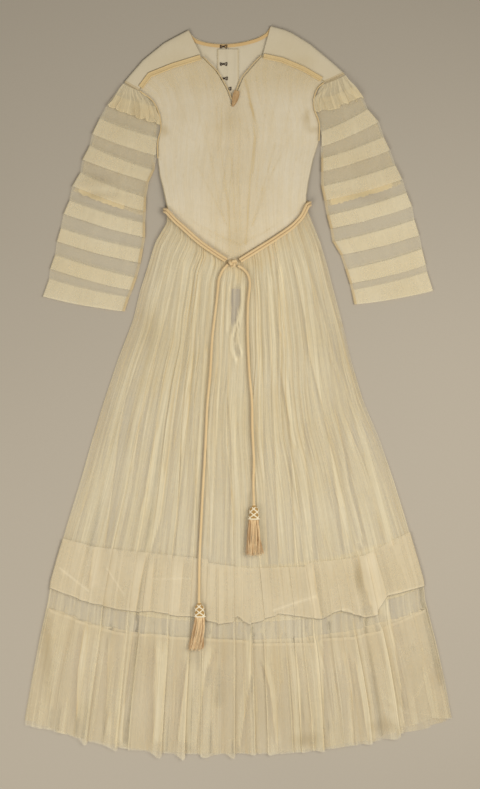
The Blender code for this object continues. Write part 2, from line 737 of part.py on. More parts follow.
def sleeve_rings(rows, flip):
    """Rings of a sleeve from the cap to the cuff, with a step at the edge of each tuck."""
    outer, inner, names = [], [], []
    for n, (name, ox, oy, ix, iy, step, lined) in enumerate(rows):
        left, right = ((ix, iy), (ox, oy)) if flip else ((ox, oy), (ix, iy))
        height = {"e_top": 5.4, "e_edge": 4.5, "f_top": 4.0}.get(name, OVER[1] + 0.1 if lined else 3.7)
        open_side = name in ("cap", "shoulder", "ruffle", "b_top", "b_edge")
        passes = (0, 1) if step and name != "cuff_edge" else (0,)
        for part in passes:
            front, under, back, back_in = [], [], [], []
            for j, s in enumerate(SLEEVE_COLUMNS):
                shade = 1 - s if flip else s
                x, y = lerp(left[0], right[0], s), lerp(left[1], right[1], s)
                sag = 4 * s * (1 - s) * (3.0 if n else 0.0)
                puff = 0.3 * (1 + math.sin(3.1 * math.pi * shade + 0.9 * n))
                puff *= smooth(s * 6) * smooth((1 - s) * 6)
                top = height + puff
                if open_side and shade > 0.99:
                    top = OVER[1]
                elif (shade < 0.01 or shade > 0.99) and not lined:
                    top = height - 0.4
                y_row = y - sag - (0.5 if part else 0.0)
                rise = TUCK_STEP if step and part == 0 else 0.0
                front.append((x, y_row, top + rise))
                under.append((x, y_row, top - WALL))
            for s in (0.0, 0.35, 0.7, 1.0):
                x, y = lerp(left[0], right[0], s), lerp(left[1], right[1], s)
                sag = 4 * s * (1 - s) * (3.0 if n else 0.0)
                back.append((x, y - sag - (0.5 if part else 0.0), BACK[0]))
                back_in.append((x, y - sag - (0.5 if part else 0.0), BACK[1]))
            shift = (0.5 if part else 0.0)
            l2, r2 = (left[0], left[1] - shift), (right[0], right[1] - shift)
            outer.append(tube_ring(l2, r2, front, back, 0.0, 0.0))
            inner.append(tube_ring(l2, r2, under, back_in, SIDE_WALL, 0.6))
            names.append(name)
    return outer, inner, names


def make_sleeve(side, rows, flip, cloth, lining):
    outer, inner, names = sleeve_rings(rows, flip)
    n = len(SLEEVE_COLUMNS)
    ring = 2 + n + 4
    # The armhole stays open: its cells round the inner edge are left out down to the armpit.
    mid = 0 if flip else n + 1
    last = names.index("b_edge")
    opening = {(mid - 1) % ring, mid}
    wall("sleeve_" + side, outer, inner, cloth, around=True,
         keep=lambda i, j: not (i < last and j in opening))

    # The lining: a shorter tube inside, with a frilled lower edge.
    picked = [r for r in rows if r[6] and r[0] not in ("cap", "shoulder")]
    outer, inner = [], []
    for k, (name, ox, oy, ix, iy, _, _) in enumerate(picked):
        if name == "d_edge":
            below = rows[[r[0] for r in rows].index("e_top")]
            ox, oy = lerp(ox, below[1], 0.33), lerp(oy, below[2], 0.33)
            ix, iy = lerp(ix, below[3], 0.33), lerp(iy, below[4], 0.33)
        if name == "ruffle":
            ix += -2 if not flip else 2
            ix, iy = lerp(ix, ox, 0.03), lerp(iy, oy, 0.03)
        left, right = ((ix, iy), (ox, oy)) if flip else ((ox, oy), (ix, iy))
        columns = [j / 10 for j in range(11)]
        front, under, back, back_in = [], [], [], []
        for j, s in enumerate(columns):
            x, y = lerp(left[0], right[0], s), lerp(left[1], right[1], s)
            frill = (3.5 if j % 2 else -3.5) if name == "d_edge" else 0.0
            y -= 4 * s * (1 - s) * 3.0 - frill
            front.append((x, y, LINING[1]))
            under.append((x, y, LINING[1] - THIN))
        for s in (0.0, 0.35, 0.7, 1.0):
            x, y = lerp(left[0], right[0], s), lerp(left[1], right[1], s)
            y -= 4 * s * (1 - s) * 3.0
            back.append((x, y, PLACKET[0]))
            back_in.append((x, y, PLACKET[1]))
        outer.append(tube_ring(left, right, front, back, 3.2, 3.4))
        inner.append(tube_ring(left, right, under, back_in, 4.9, 4.2))
    wall("sleeve_lining_" + side, outer, inner, lining, around=True)

    # The gathered top tuck, which lies on the sleeve with a wavy edge.
    waves = 8
    outer, inner = [], []
    for row in range(3):
        top, under = [], []
        for j in range(2 * waves + 1):
            s = j / (2 * waves)
            shade = 1 - s if flip else s
            near, far = rows[row], rows[row + 1]
            t = (0.25, 0.1, 0.12)[row]
            ox, oy = lerp(near[1], far[1], t), lerp(near[2], far[2], t)
            ix, iy = lerp(near[3], far[3], t), lerp(near[4], far[4], t)
            length = math.dist((ox, oy), (ix, iy))
            clear = 4.2 / length
            share = lerp(0.012, 1 - clear, shade)
            x, y = lerp(ox, ix, share), lerp(oy, iy, share)
            sag = 4 * share * (1 - share) * 3.0
            wave = (1.6 if j % 2 else 0.0) * (0.35, 0.8, 1.0)[row]
            y += -sag * (0.3, 0.8, 1.0)[row] + (1.8 if j % 2 and row == 2 else 0.0)
            z = OVER[1] + 0.6 + GAP + 1.1 + wave
            top.append((x, y, z))
            under.append((x, y, z - 1.1))
        outer.append(top)
        inner.append(under)
    wall("sleeve_ruffle_" + side, outer, inner, cloth)


# The belt, its knot, its hanging ends and their tassels

def make_belt(cord):
    """Two strands side by side: over the front seam, round the sides and under the back."""
    front_z = OVER[1] + 1.3 + GAP + CORD_R
    route = []

    def add(x, y, z, nx, ny):
        route.append((Vector((x, y, z)), Vector((nx, ny, 0)).normalized()))

    for share in (0.0, 0.2, 0.45, 0.7, 0.86):
        x, y = along(WAIST_LEFT[::-1], lerp(KNOT_CLEAR / BELT_LEFT_RUN, 1.0, share))
        add(x, y, front_z + rise(x, y), 0.64, 0.77)
    add(-139.5, 352.5, front_z + rise(-136, 352) - 0.6, 0.5, 0.87)
    add(-143.6, 354.5, front_z + 1.2, 0.2, 0.98)
    add(-145.0, 355.0, 6.2, 0, 1)
    add(-141.2, 355.5, CORD_R + 0.3, 0, 1)
    for x in (-131, -100, -60, -20, 25, 70, 105, 126):
        add(x, table(WAIST_BACK, x, 1) + 1.0, CORD_R + 0.06, 0, 1)
    add(136.2, 368.0, CORD_R + 0.3, 0, 1)
    add(140.0, 367.5, 6.2, 0, 1)
    add(138.8, 367.0, front_z + 1.2, -0.4, 0.9)
    add(134.8, 364.5, front_z + rise(131, 366) - 0.6, -0.8, 0.6)
    for share in (0.86, 0.7, 0.45, 0.2, 0.0):
        x, y = along(WAIST_RIGHT, lerp(KNOT_CLEAR / BELT_RIGHT_RUN, 1.0, share))
        add(x, y, front_z + rise(x, y), -0.6, 0.8)
    for name, sign in (("belt_upper", 1), ("belt_lower", -1)):
        points = [p + n * STRAND_APART * sign for p, n in route]
        curve_tube(name, through([tuple(p) for p in points], 15.0), CORD_R, cord)


def make_knot(cord):
    bm = bmesh.new()
    bmesh.ops.create_uvsphere(bm, u_segments=14, v_segments=8, radius=1.0)
    for v in bm.verts:
        v.co = Vector((v.co.x * 10.0 * MM, v.co.y * 9.6 * MM, v.co.z * 5.6 * MM))
    mesh = bpy.data.meshes.new("belt_knot")
    bm.to_mesh(mesh)
    bm.free()
    obj = link("belt_knot", mesh, cord)
    obj.location = (KNOT[0] * MM, KNOT[1] * MM, (OVER[1] + 1.3 + GAP + 5.8) * MM)
    return obj


def top_finder(objects):
    """The height of the cloth under a point, from the meshes of the skirt and its tuck."""
    trees = []
    for obj in objects:
        mesh = obj.data
        trees.append(BVHTree.FromPolygons([tuple(v.co) for v in mesh.vertices],
                                          [tuple(p.vertices) for p in mesh.polygons]))

    def height(x, y, reach):
        best = 0.0
        for dx in (-reach, -reach / 2, 0, reach / 2, reach):
            for dy in (-6, -3, 0, 3, 6):
                for tree in trees:
                    hit = tree.ray_cast(Vector(((x + dx) * MM, (y + dy) * MM, 0.1)), Vector((0, 0, -1)))
                    if hit[0] is not None:
                        best = max(best, hit[0].z / MM)
        return best

    return height


def make_hanging_end(side, route, height, cord, fringe, lean):
    """A hanging end of the cord on the skirt, and the tassel at its end."""
    flat = spaced([(x, y, 0.0) for x, y in route], 14.0)
    end_x, end_y = flat[-1][0], flat[-1][1] - 0.4
    under = [height(end_x, end_y - d, 11.0) for d in range(6, int(HEAD_LENGTH + FRINGE_LENGTH), 8)]
    middle = max(under) + GAP + 0.2 + HEAD_HEIGHT / 2

    zs = [height(x, y, CORD_R + 0.6) + GAP + CORD_R for x, y, _ in flat]
    eased = [max(zs[max(0, k - 1):k + 2]) for k in range(len(zs))]
    eased[-1] = middle
    eased[-2] = max(eased[-2], lerp(eased[-3], middle, 0.8))
    points = [(x, y, z) for (x, y, _), z in zip(flat, eased)]
    points[0] = (points[0][0], points[0][1], OVER[1] + 1.3 + GAP + 4.5)
    curve_tube("cord_" + side, points, CORD_R, cord)

    # The head is turned about its own axis, then pressed a little flat.
    profile = [(2.6, 0.0), (3.2, -3.0), (5.6, -6.5), (7.6, -11.0), (8.3, -15.0), (6.6, -19.0),
               (8.0, -23.0), (7.4, -HEAD_LENGTH)]
    sides = 12
    bm = bmesh.new()
    rings = []
    for radius, down in profile:
        ring = []
        for k in range(sides):
            a = 2 * math.pi * (k + 0.5) / sides
            flatten = HEAD_HEIGHT / HEAD_WIDTH
            point = Vector((radius * math.cos(a), down, radius * flatten * math.sin(a)))
            ring.append(bm.verts.new(point * MM))
        rings.append(ring)
    for a, b in zip(rings, rings[1:]):
        for k in range(sides):
            bm.faces.new((a[k], a[(k + 1) % sides], b[(k + 1) % sides], b[k]))
    bm.faces.new(rings[0][::-1])
    bm.faces.new(rings[-1])
    mesh = bpy.data.meshes.new("tassel_" + side)
    bm.to_mesh(mesh)
    bm.free()
    head = link("tassel_" + side, mesh, fringe)
    head.location = (end_x * MM, end_y * MM, middle * MM)

    # The fringe: three-sided strands in layers that fan out from inside the head.
    bm = bmesh.new()
    for layer, (count, root, tip) in enumerate(FRINGE):
        for n in range(count):
            c = (2 * n + 1) / count - 1
            uneven = ((n * 7 + layer * 5) % 11) / 11
            x0, x1 = c * root, c * tip + lean
            z0, z1 = (layer - 1) * 2.5, (layer - 1) * 3.4
            y0, y1 = -HEAD_LENGTH + 1.5, -HEAD_LENGTH - FRINGE_LENGTH * (0.9 + 0.1 * uneven)
            size = 0.45
            start = [bm.verts.new(Vector((x0 + size * math.cos(a), y0, z0 + size * math.sin(a))) * MM)
                     for a in (math.pi / 2, math.pi * 7 / 6, math.pi * 11 / 6)]
            stop = [bm.verts.new(Vector((x1 + size * math.cos(a), y1, z1 + size * math.sin(a))) * MM)
                    for a in (math.pi / 2, math.pi * 7 / 6, math.pi * 11 / 6)]
            for k in range(3):
                m = (k + 1) % 3
                bm.faces.new((start[k], start[m], stop[m], stop[k]))
            bm.faces.new(start[::-1])
            bm.faces.new(stop)
    mesh = bpy.data.meshes.new("fringe_" + side)
    bm.to_mesh(mesh)
    bm.free()
    strands = bpy.data.objects.new("fringe_" + side, mesh)
    TOOLS.objects.link(strands)
    strands.hide_render = True
    strands.display_type = "WIRE"
    strands.location = head.location
    union = head.modifiers.new("fringe", "BOOLEAN")
    union.operation = "UNION"
    union.solver = "EXACT"
    union.object = strands


clear_scene()
GOWN = bpy.data.collections.new("sheer_gown")
bpy.context.scene.collection.children.link(GOWN)
TOOLS = bpy.data.collections.new("union_pieces")
bpy.context.scene.collection.children.link(TOOLS)

cloth = material("sheer_cotton", IVORY, 0.9)
lining = material("cotton_lining", IVORY_LIGHT, 0.9)
tan = material("tan_tape", TAN, 0.85)
cord = material("tan_cord", CORD_COLOUR, 0.8)
fringe = material("peach_fringe", PEACH, 0.8)
iron = material("iron_hook", IRON, 0.5, 0.8)

skirt, tuck = make_skirt(cloth)
make_bodice(cloth, lining)
make_backs(cloth)
make_trims(cloth, tan, iron)
make_sleeve("l", SLEEVE_LEFT, False, cloth, lining)
make_sleeve("r", SLEEVE_RIGHT, True, cloth, lining)
make_belt(cord)
make_knot(cord)
cloth_height = top_finder([skirt, tuck])
make_hanging_end("left", CORD_LEFT_ROUTE, cloth_height, cord, fringe, -6.0)
make_hanging_end("right", CORD_RIGHT_ROUTE, cloth_height, cord, fringe, 1.0)
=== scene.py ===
"""Looks of the long sheer cotton gown, laid flat: cloth, trims, cord belt, floor, light, camera.

Tables are in millimetres in the part's frame, or in pixels of the photograph inside spot() and
spots(). Meshes are made in metres. Left and right are the viewer's, looking down at the front.
"""

import math

import bpy
import numpy as np
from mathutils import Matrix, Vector
from mathutils.bvhtree import BVHTree


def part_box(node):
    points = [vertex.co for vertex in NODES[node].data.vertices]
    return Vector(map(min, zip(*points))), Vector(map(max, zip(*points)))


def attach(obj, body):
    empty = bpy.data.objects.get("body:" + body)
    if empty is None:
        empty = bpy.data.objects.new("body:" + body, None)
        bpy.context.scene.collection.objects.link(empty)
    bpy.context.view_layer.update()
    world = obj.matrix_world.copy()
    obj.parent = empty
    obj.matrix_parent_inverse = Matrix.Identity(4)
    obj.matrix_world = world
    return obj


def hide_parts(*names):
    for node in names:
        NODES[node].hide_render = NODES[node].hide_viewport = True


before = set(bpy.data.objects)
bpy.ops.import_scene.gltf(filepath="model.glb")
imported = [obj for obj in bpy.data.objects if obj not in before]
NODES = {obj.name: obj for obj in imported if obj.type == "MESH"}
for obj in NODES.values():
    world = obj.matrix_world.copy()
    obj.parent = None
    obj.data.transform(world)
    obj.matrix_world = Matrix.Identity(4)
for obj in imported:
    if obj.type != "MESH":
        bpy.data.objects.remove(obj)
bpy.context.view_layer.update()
MM = 0.001
PI = math.pi


# Reading the photograph: pixels to millimetres

PIXEL = 1.95
MIDDLE_PIXEL = (238.5, 392.5)


def spot(px, py):
    """The place of a pixel, in millimetres."""
    return ((px - MIDDLE_PIXEL[0]) * PIXEL, (MIDDLE_PIXEL[1] - py) * PIXEL)


def spots(*pairs):
    return [spot(*p) for p in pairs]


# Tables of the gown's lines

# The cord's radius in the solids and as drawn, and half the gap between the belt's two strands
CORD_R = 2.4
END_R = 2.75
STRAND_APART = 2.65
# The tops of the bodice's layers, and the height above which a point is on the front cloth
OVER_TOP = 5.5
LINING_TOP = 3.9
FRONT_FROM = 3.0

WAIST_LEFT = [(-137, 352), (-130, 341), (-112, 325), (-74, 291), (-27, 259), (-11, 252)]
WAIST_RIGHT = [(-11, 252), (3, 257), (51, 287), (96, 315), (122, 339), (132, 366)]
# The share of the front that lies left of the point of the waist
WAIST_SPLIT = 0.476
WAIST_BACK = [(-137, 352), (-100, 361), (-20, 371), (70, 373), (132, 366)]

# The skirt's outline: y, left x, right x
SKIRT_EDGES = [
    (366, -137, 132), (352, -137, 134), (330, -139, 143), (293, -161, 158), (247, -175, 172),
    (200, -190, 184), (141, -204, 200), (63, -234, 218), (-15, -260, 241), (-93, -284, 274),
    (-171, -306, 301), (-249, -330, 325), (-327, -353, 348), (-366, -364, 359), (-405, -370, 363),
    (-483, -387, 383), (-561, -402, 401), (-639, -415, 415), (-720, -418, 417),
]
# The level of each line across the skirt, as a smooth bow: left, middle, right
SKIRT_LINES = {
    "tuck_top": (-286, -338, -273), "tuck_edge": (-381, -448, -378),
    "hem_top": (-420, -482, -420), "hem_edge": (-648, -712, -634),
}
# The same lines as the front shows them
FRONT_LINES = {
    "tuck_top": spots((63.9, 538.2), (94.6, 546.5), (147.7, 552.3), (207.4, 559), (210.7, 563),
                      (250, 568), (303, 566.4), (313, 562), (352.8, 558.1), (372.6, 552.3),
                      (384.3, 544), (410, 531.6)),
    "tuck_edge": spots((49.8, 588), (86, 602), (119.5, 609.5), (136, 612), (152.6, 611.2),
                       (177.5, 616.2), (195.8, 617), (219, 624.5), (230.6, 622.8), (238.9, 616.5),
                       (250, 625), (279.8, 613.9), (321, 619.5), (339.5, 610.5), (367.7, 617.8),
                       (376, 615.2), (389, 596), (424.9, 586.3)),
    "hem_top": spots((47.4, 607.9), (86.3, 622.8), (124.5, 632.8), (152.6, 632.8), (175.9, 636),
                     (243.8, 639.4), (254.9, 642.7), (319.6, 641.9), (322.9, 637.7), (356, 636),
                     (377.6, 630.3), (395.9, 622), (428.2, 607.9)),
    "hem_edge": spots((25.8, 724.8), (59.8, 732.2), (100, 744), (130, 749.5), (175, 753.5),
                      (210, 754.5), (240, 753.5), (281.5, 754), (322.9, 750), (354.4, 745.5),
                      (380, 740.5), (404.5, 733.5), (406, 728.1), (432.3, 718), (451.4, 718.1)),
}
# The main folds: x at the hem, depth above, depth at the hem, lean, drop of the lower edge
PLEATS = [
    (-396, 1.6, 2.6, 0.3, 0), (-350, 2.4, 3.4, -0.4, 2), (-303, 3.2, 4.0, 0.9, 15),
    (-243, 2.6, 3.2, 0.8, 11), (-205, 3.4, 2.6, -0.5, 1), (-159, 3.0, 4.2, 0.9, 15),
    (-110, 2.8, 4.0, 0.6, 16), (-64, 2.4, 2.8, -0.6, 8), (-11, 3.0, 3.6, 0.7, 13),
    (31, 2.6, 3.6, 0.5, 3), (64, 3.2, 3.0, -0.7, 4), (101, 2.4, 2.6, 0.4, 0),
    (132, 2.8, 3.2, -0.4, 2), (164, 3.6, 4.2, 0.9, 5), (216, 2.6, 2.8, -0.5, 0),
    (252, 2.8, 3.4, 0.6, 4), (306, 3.4, 4.2, 0.9, 7), (372, 1.8, 2.6, -0.3, 0),
]
FOLDS = 35
STEPS_IN_FOLD = 16
# How many units the fold coordinate of the material runs across the front
FOLD_UNITS = 70.0

SEAM_LEFT = [(-195, 589), (-173, 619), (-128, 637), (-72, 654)]
V_LEFT = [(-72, 654), (-61, 643), (-47, 629), (-36, 613), (-23, 588), (-14, 560)]
V_RIGHT = [(-14, 560), (2, 596), (10, 614), (20, 626), (34, 642), (47, 656)]
SEAM_RIGHT = [(47, 656), (85, 648), (126, 631), (169, 606)]
SIDE_LEFT = [
    (-195, 589), (-167, 568), (-154, 541), (-151, 514), (-157, 488), (-157, 453), (-153, 422),
    (-147, 399), (-141, 370), (-137, 352),
]
SIDE_RIGHT = [
    (169, 606), (154, 592), (147, 573), (148, 551), (157, 524), (156, 488), (145, 453),
    (136, 410), (132, 383), (132, 366),
]
FOLD_LEFT = [(-223, 606), (-187, 648), (-145, 682), (-98, 707)]
FOLD_RIGHT = [(63, 715), (98, 705), (139, 680), (180, 646), (206, 623)]
NECK_BACK = [
    (-98, 707), (-91, 696), (-77, 687), (-56, 682), (-29, 680), (3, 683), (34, 691), (54, 702),
    (63, 715),
]

# The rows of both sleeves from cap to cuff: name, whether a tuck's edge, whether lined
SLEEVE_ROWS = [
    ("cap", 0, 1), ("shoulder", 0, 1), ("ruffle", 0, 1), ("b_top", 0, 1), ("b_edge", 1, 1),
    ("c_top", 0, 1), ("c_edge", 1, 1), ("d_top", 0, 1), ("d_edge", 1, 1), ("e_top", 0, 0),
    ("e_edge", 1, 0), ("f_top", 0, 0), ("f_edge", 1, 0), ("g_top", 0, 0), ("g_edge", 1, 0),
    ("cuff_top", 0, 0), ("cuff_edge", 1, 0),
]
# Their places: outer x, outer y, inner x, inner y
SLEEVE_PLACES = {
    "l": [
        (-220.5, 607, -195.5, 592), (-238, 586, -169, 566), (-255, 565, -154, 527),
        (-271, 535, -157, 498), (-286, 504, -159, 462), (-291, 481, -163, 434),
        (-305, 454, -174, 411), (-309, 429, -179, 381), (-325, 402, -180, 353),
        (-330, 375, -181, 331), (-342, 348, -181, 302), (-347, 321, -185, 280),
        (-355, 294, -190, 252), (-358, 269, -197, 225), (-368, 241, -206, 199),
        (-370, 221, -212, 186), (-382, 187, -221, 158),
    ],
    "r": [
        (204.5, 624, 170.5, 608), (224, 600, 149, 576), (242, 577, 150, 549),
        (252, 553, 160, 510), (274, 527, 160, 479), (283, 499, 160, 457),
        (296, 472, 160, 430), (306, 444, 160, 403), (320, 415, 166, 374),
        (328, 390, 171, 346), (339, 362, 178, 319), (343, 338, 182, 295),
        (353, 306, 198, 268), (358, 281, 207, 241), (366, 248, 216, 212),
        (368, 235, 219, 200), (380, 198, 225, 172),
    ],
}

# The knot, how far the belt stays clear of it, and the length of each side of the front waist
KNOT = (-11, 252)
KNOT_CLEAR = 14.5
LEFT_RUN = 170
RIGHT_RUN = 185
CORD_LEFT_ROUTE = [
    (-21.5, 249), (-31, 238), (-38, 222), (-40, 205), (-43, 175), (-51, 107), (-55, 40),
    (-61, -27), (-63, -72), (-66, -132), (-70, -200), (-73, -260), (-76, -327), (-77, -406),
]
CORD_RIGHT_ROUTE = [
    (-1, 247), (9, 241), (18, 230), (22, 213), (20, 190), (18, 163), (18, 107), (21, 40),
    (26, -16), (27, -72), (30, -132), (29, -176), (30, -216),
]
HOOKS = [(-29, 674), (-29, 640), (-28, 612), (-21, 592)]
HEAD_LENGTH = 31.0
FRINGE_LENGTH = 64.0


# Numbers

def lerp(a, b, t):
    return a + (b - a) * t


def smooth(t):
    t = np.clip(t, 0.0, 1.0)
    return t * t * (3.0 - 2.0 * t)


def table(rows, key, column=1):
    """Reads a column of a table between its rows."""
    rows = sorted(rows, key=lambda r: r[0])
    return np.interp(key, [r[0] for r in rows], [r[column] for r in rows])


def along(points, t):
    """Points at the shares t of a polyline's length."""
    p = np.asarray(points, float)
    steps = np.sqrt((np.diff(p[:, :2], axis=0) ** 2).sum(1))
    done = np.concatenate([[0.0], np.cumsum(steps)])
    goal = np.clip(t, 0.0, 1.0) * done[-1]
    return np.stack([np.interp(goal, done, p[:, k]) for k in range(p.shape[1])], -1)


def dice(i, j, seed):
    """A fixed number from 0 to 1 for each pair of numbers."""
    h = np.sin(i * 127.1 + j * 311.7 + seed * 74.7) * 43758.5453
    return h - np.floor(h)


def noise(x, y, wide, tall, seed=0):
    """Smooth noise from -1 to 1, with its own grain across and down."""
    gx, gy = np.asarray(x) / wide, np.asarray(y) / tall
    ix, iy = np.floor(gx), np.floor(gy)
    fx, fy = smooth(gx - ix), smooth(gy - iy)
    low = lerp(dice(ix, iy, seed), dice(ix + 1, iy, seed), fx)
    high = lerp(dice(ix, iy + 1, seed), dice(ix + 1, iy + 1, seed), fx)
    return 2 * lerp(low, high, fy) - 1


def from_line(x, y, points):
    """Distance of each point from a polyline."""
    best = np.full(np.shape(x), 1e9)
    for (ax, ay), (bx, by) in zip(points, points[1:]):
        dx, dy = bx - ax, by - ay
        t = np.clip(((x - ax) * dx + (y - ay) * dy) / (dx * dx + dy * dy), 0, 1)
        best = np.minimum(best, np.hypot(x - ax - t * dx, y - ay - t * dy))
    return best


def spaced(points, step):
    """Points at an even spacing on a smooth curve through the given ones."""
    pts = [Vector(p) for p in points]
    pts = [2 * pts[0] - pts[1]] + pts + [2 * pts[-1] - pts[-2]]
    fine = []
    for a, b, c, d in zip(pts, pts[1:], pts[2:], pts[3:]):
        for k in range(16):
            t = k / 16
            fine.append(0.5 * ((2 * b) + (c - a) * t + (2 * a - 5 * b + 4 * c - d) * t * t
                               + (3 * b - a - 3 * c + d) * t ** 3))
    fine.append(pts[-2])
    fine = np.array([tuple(p) for p in fine])
    steps = np.sqrt((np.diff(fine, axis=0) ** 2).sum(1))
    done = np.concatenate([[0.0], np.cumsum(steps)])
    count = max(2, round(done[-1] / step))
    goal = np.linspace(0, done[-1], count + 1)
    return np.stack([np.interp(goal, done, fine[:, k]) for k in range(fine.shape[1])], -1)


def through(points, step):
    """A smooth curve through the given points, each stretch cut into steps."""
    pts = [Vector(p) for p in points]
    pts = [2 * pts[0] - pts[1]] + pts + [2 * pts[-1] - pts[-2]]
    result = []
    for a, b, c, d in zip(pts, pts[1:], pts[2:], pts[3:]):
        count = max(1, math.ceil((c - b).length / step - 0.2))
        near = min(1.0, (c - b).length / max(1e-6, (b - a).length))
        far = min(1.0, (c - b).length / max(1e-6, (d - c).length))
        start, stop = (c - a) / 2 * near, (d - b) / 2 * far
        for k in range(count):
            t = k / count
            result.append((2 * t ** 3 - 3 * t * t + 1) * b + (t ** 3 - 2 * t * t + t) * start
                          + (3 * t * t - 2 * t ** 3) * c + (t ** 3 - t * t) * stop)
    result.append(pts[-2])
    return np.array([tuple(p) for p in result])


def hump(x, y, top, foot):
    """The lift of a cord under the cloth: full within top of the waist, none beyond foot."""
    off = np.abs(y - table(WAIST_BACK, x))
    return (2 * CORD_R + 0.5) * np.clip((foot - off) / (foot - top), 0, 1)


def base(x, y):
    """How far the back is lifted where the belt runs under it."""
    return hump(x, y, 14.5, 35.0)


def rise(x, y):
    """How far the front layers are lifted there."""
    return hump(x, y, 30.0, 110.0)


# Materials

class Nodes:
    """A material's node tree, with short calls for its nodes."""

    def __init__(self, name):
        self.mat = bpy.data.materials.new(name)
        self.mat.use_nodes = True
        self.tree = self.mat.node_tree
        self.shader = self.tree.nodes["Principled BSDF"]
        self.place = self.add("ShaderNodeTexCoord").outputs["Object"]

    def add(self, kind, **values):
        node = self.tree.nodes.new(kind)
        for key, value in values.items():
            setattr(node, key, value)
        return node

    def join(self, a, b):
        self.tree.links.new(a, b)

    def fill(self, socket, value):
        if isinstance(value, bpy.types.NodeSocket):
            self.join(value, socket)
        else:
            socket.default_value = value

    def stretched(self, x, y, z):
        node = self.add("ShaderNodeMapping")
        node.inputs["Scale"].default_value = (x, y, z)
        self.join(self.place, node.inputs["Vector"])
        return node.outputs["Vector"]

    def noise(self, scale, detail=2.0, rough=0.5, where=None):
        node = self.add("ShaderNodeTexNoise")
        self.join(where or self.place, node.inputs["Vector"])
        node.inputs["Scale"].default_value = scale
        node.inputs["Detail"].default_value = detail
        node.inputs["Roughness"].default_value = rough
        return node.outputs["Fac"]

    def cloud(self, scale, low, high, detail=3.0, rough=0.6):
        """Noise spread from 0 to 1 between two of its values."""
        return self.spread(self.noise(scale, detail, rough), low, high)

    def wave(self, scale, way, distort=0.0):
        node = self.add("ShaderNodeTexWave", wave_type="BANDS", bands_direction=way)
        self.join(self.place, node.inputs["Vector"])
        node.inputs["Scale"].default_value = scale
        node.inputs["Distortion"].default_value = distort
        return node.outputs["Fac"]

    def math(self, kind, a, b=0.0, c=0.0, clamp=False):
        node = self.add("ShaderNodeMath", operation=kind, use_clamp=clamp)
        for socket, value in zip(node.inputs, (a, b, c)):
            self.fill(socket, value)
        return node.outputs[0]

    def spread(self, value, low, high, to_low=0.0, to_high=1.0):
        node = self.add("ShaderNodeMapRange")
        for socket, item in zip(node.inputs, (value, low, high, to_low, to_high)):
            self.fill(socket, item)
        return node.outputs[0]

    def mix(self, share, a, b, kind="MIX"):
        node = self.add("ShaderNodeMix", data_type="RGBA", blend_type=kind)
        self.fill(node.inputs[0], share)
        self.fill(node.inputs[6], a if isinstance(a, bpy.types.NodeSocket) else (*a, 1.0))
        self.fill(node.inputs[7], b if isinstance(b, bpy.types.NodeSocket) else (*b, 1.0))
        return node.outputs[2]

    def value(self, name):
        return self.add("ShaderNodeAttribute", attribute_name=name).outputs["Fac"]

    def bump(self, height, strength, distance, under=None):
        node = self.add("ShaderNodeBump")
        node.inputs["Strength"].default_value = strength
        node.inputs["Distance"].default_value = distance
        self.join(height, node.inputs["Height"])
        if under is not None:
            self.join(under, node.inputs["Normal"])
        return node.outputs["Normal"]

    def finish(self, colour, normal=None, alpha=None, roughness=0.9, sheen=0.0, specular=0.2):
        inputs = self.shader.inputs
        self.fill(inputs["Base Color"], colour)
        inputs["Roughness"].default_value = roughness
        inputs["Specular IOR Level"].default_value = specular
        if sheen:
            inputs["Sheen Weight"].default_value = sheen
            inputs["Sheen Roughness"].default_value = 0.5
        if normal is not None:
            self.join(normal, inputs["Normal"])
        if alpha is not None:
            self.fill(inputs["Alpha"], alpha)
        return self.mat


def srgb(r, g, b):
    """A colour as seen on a screen, from 0 to 255, in the shader's linear values."""
    def one(c):
        c /= 255.0
        return c / 12.92 if c <= 0.04045 else ((c + 0.055) / 1.055) ** 2.4
    return (one(r), one(g), one(b))


def woven(n, threads, strength):
    """The plain weave: crossing threads as a fine bump."""
    across, down = n.wave(threads, "X", 0.4), n.wave(threads, "Y", 0.4)
    weave = n.math("MAXIMUM", across, down)
    crinkle = n.noise(260.0, 3.0, 0.6)
    soft = n.noise(45.0, 2.0, 0.5, n.stretched(2.0, 0.6, 1.0))
    low = n.bump(soft, 0.5, 0.0016)
    middle = n.bump(crinkle, 0.35, 0.0005, low)
    return n.bump(weave, strength, 0.0002, middle)


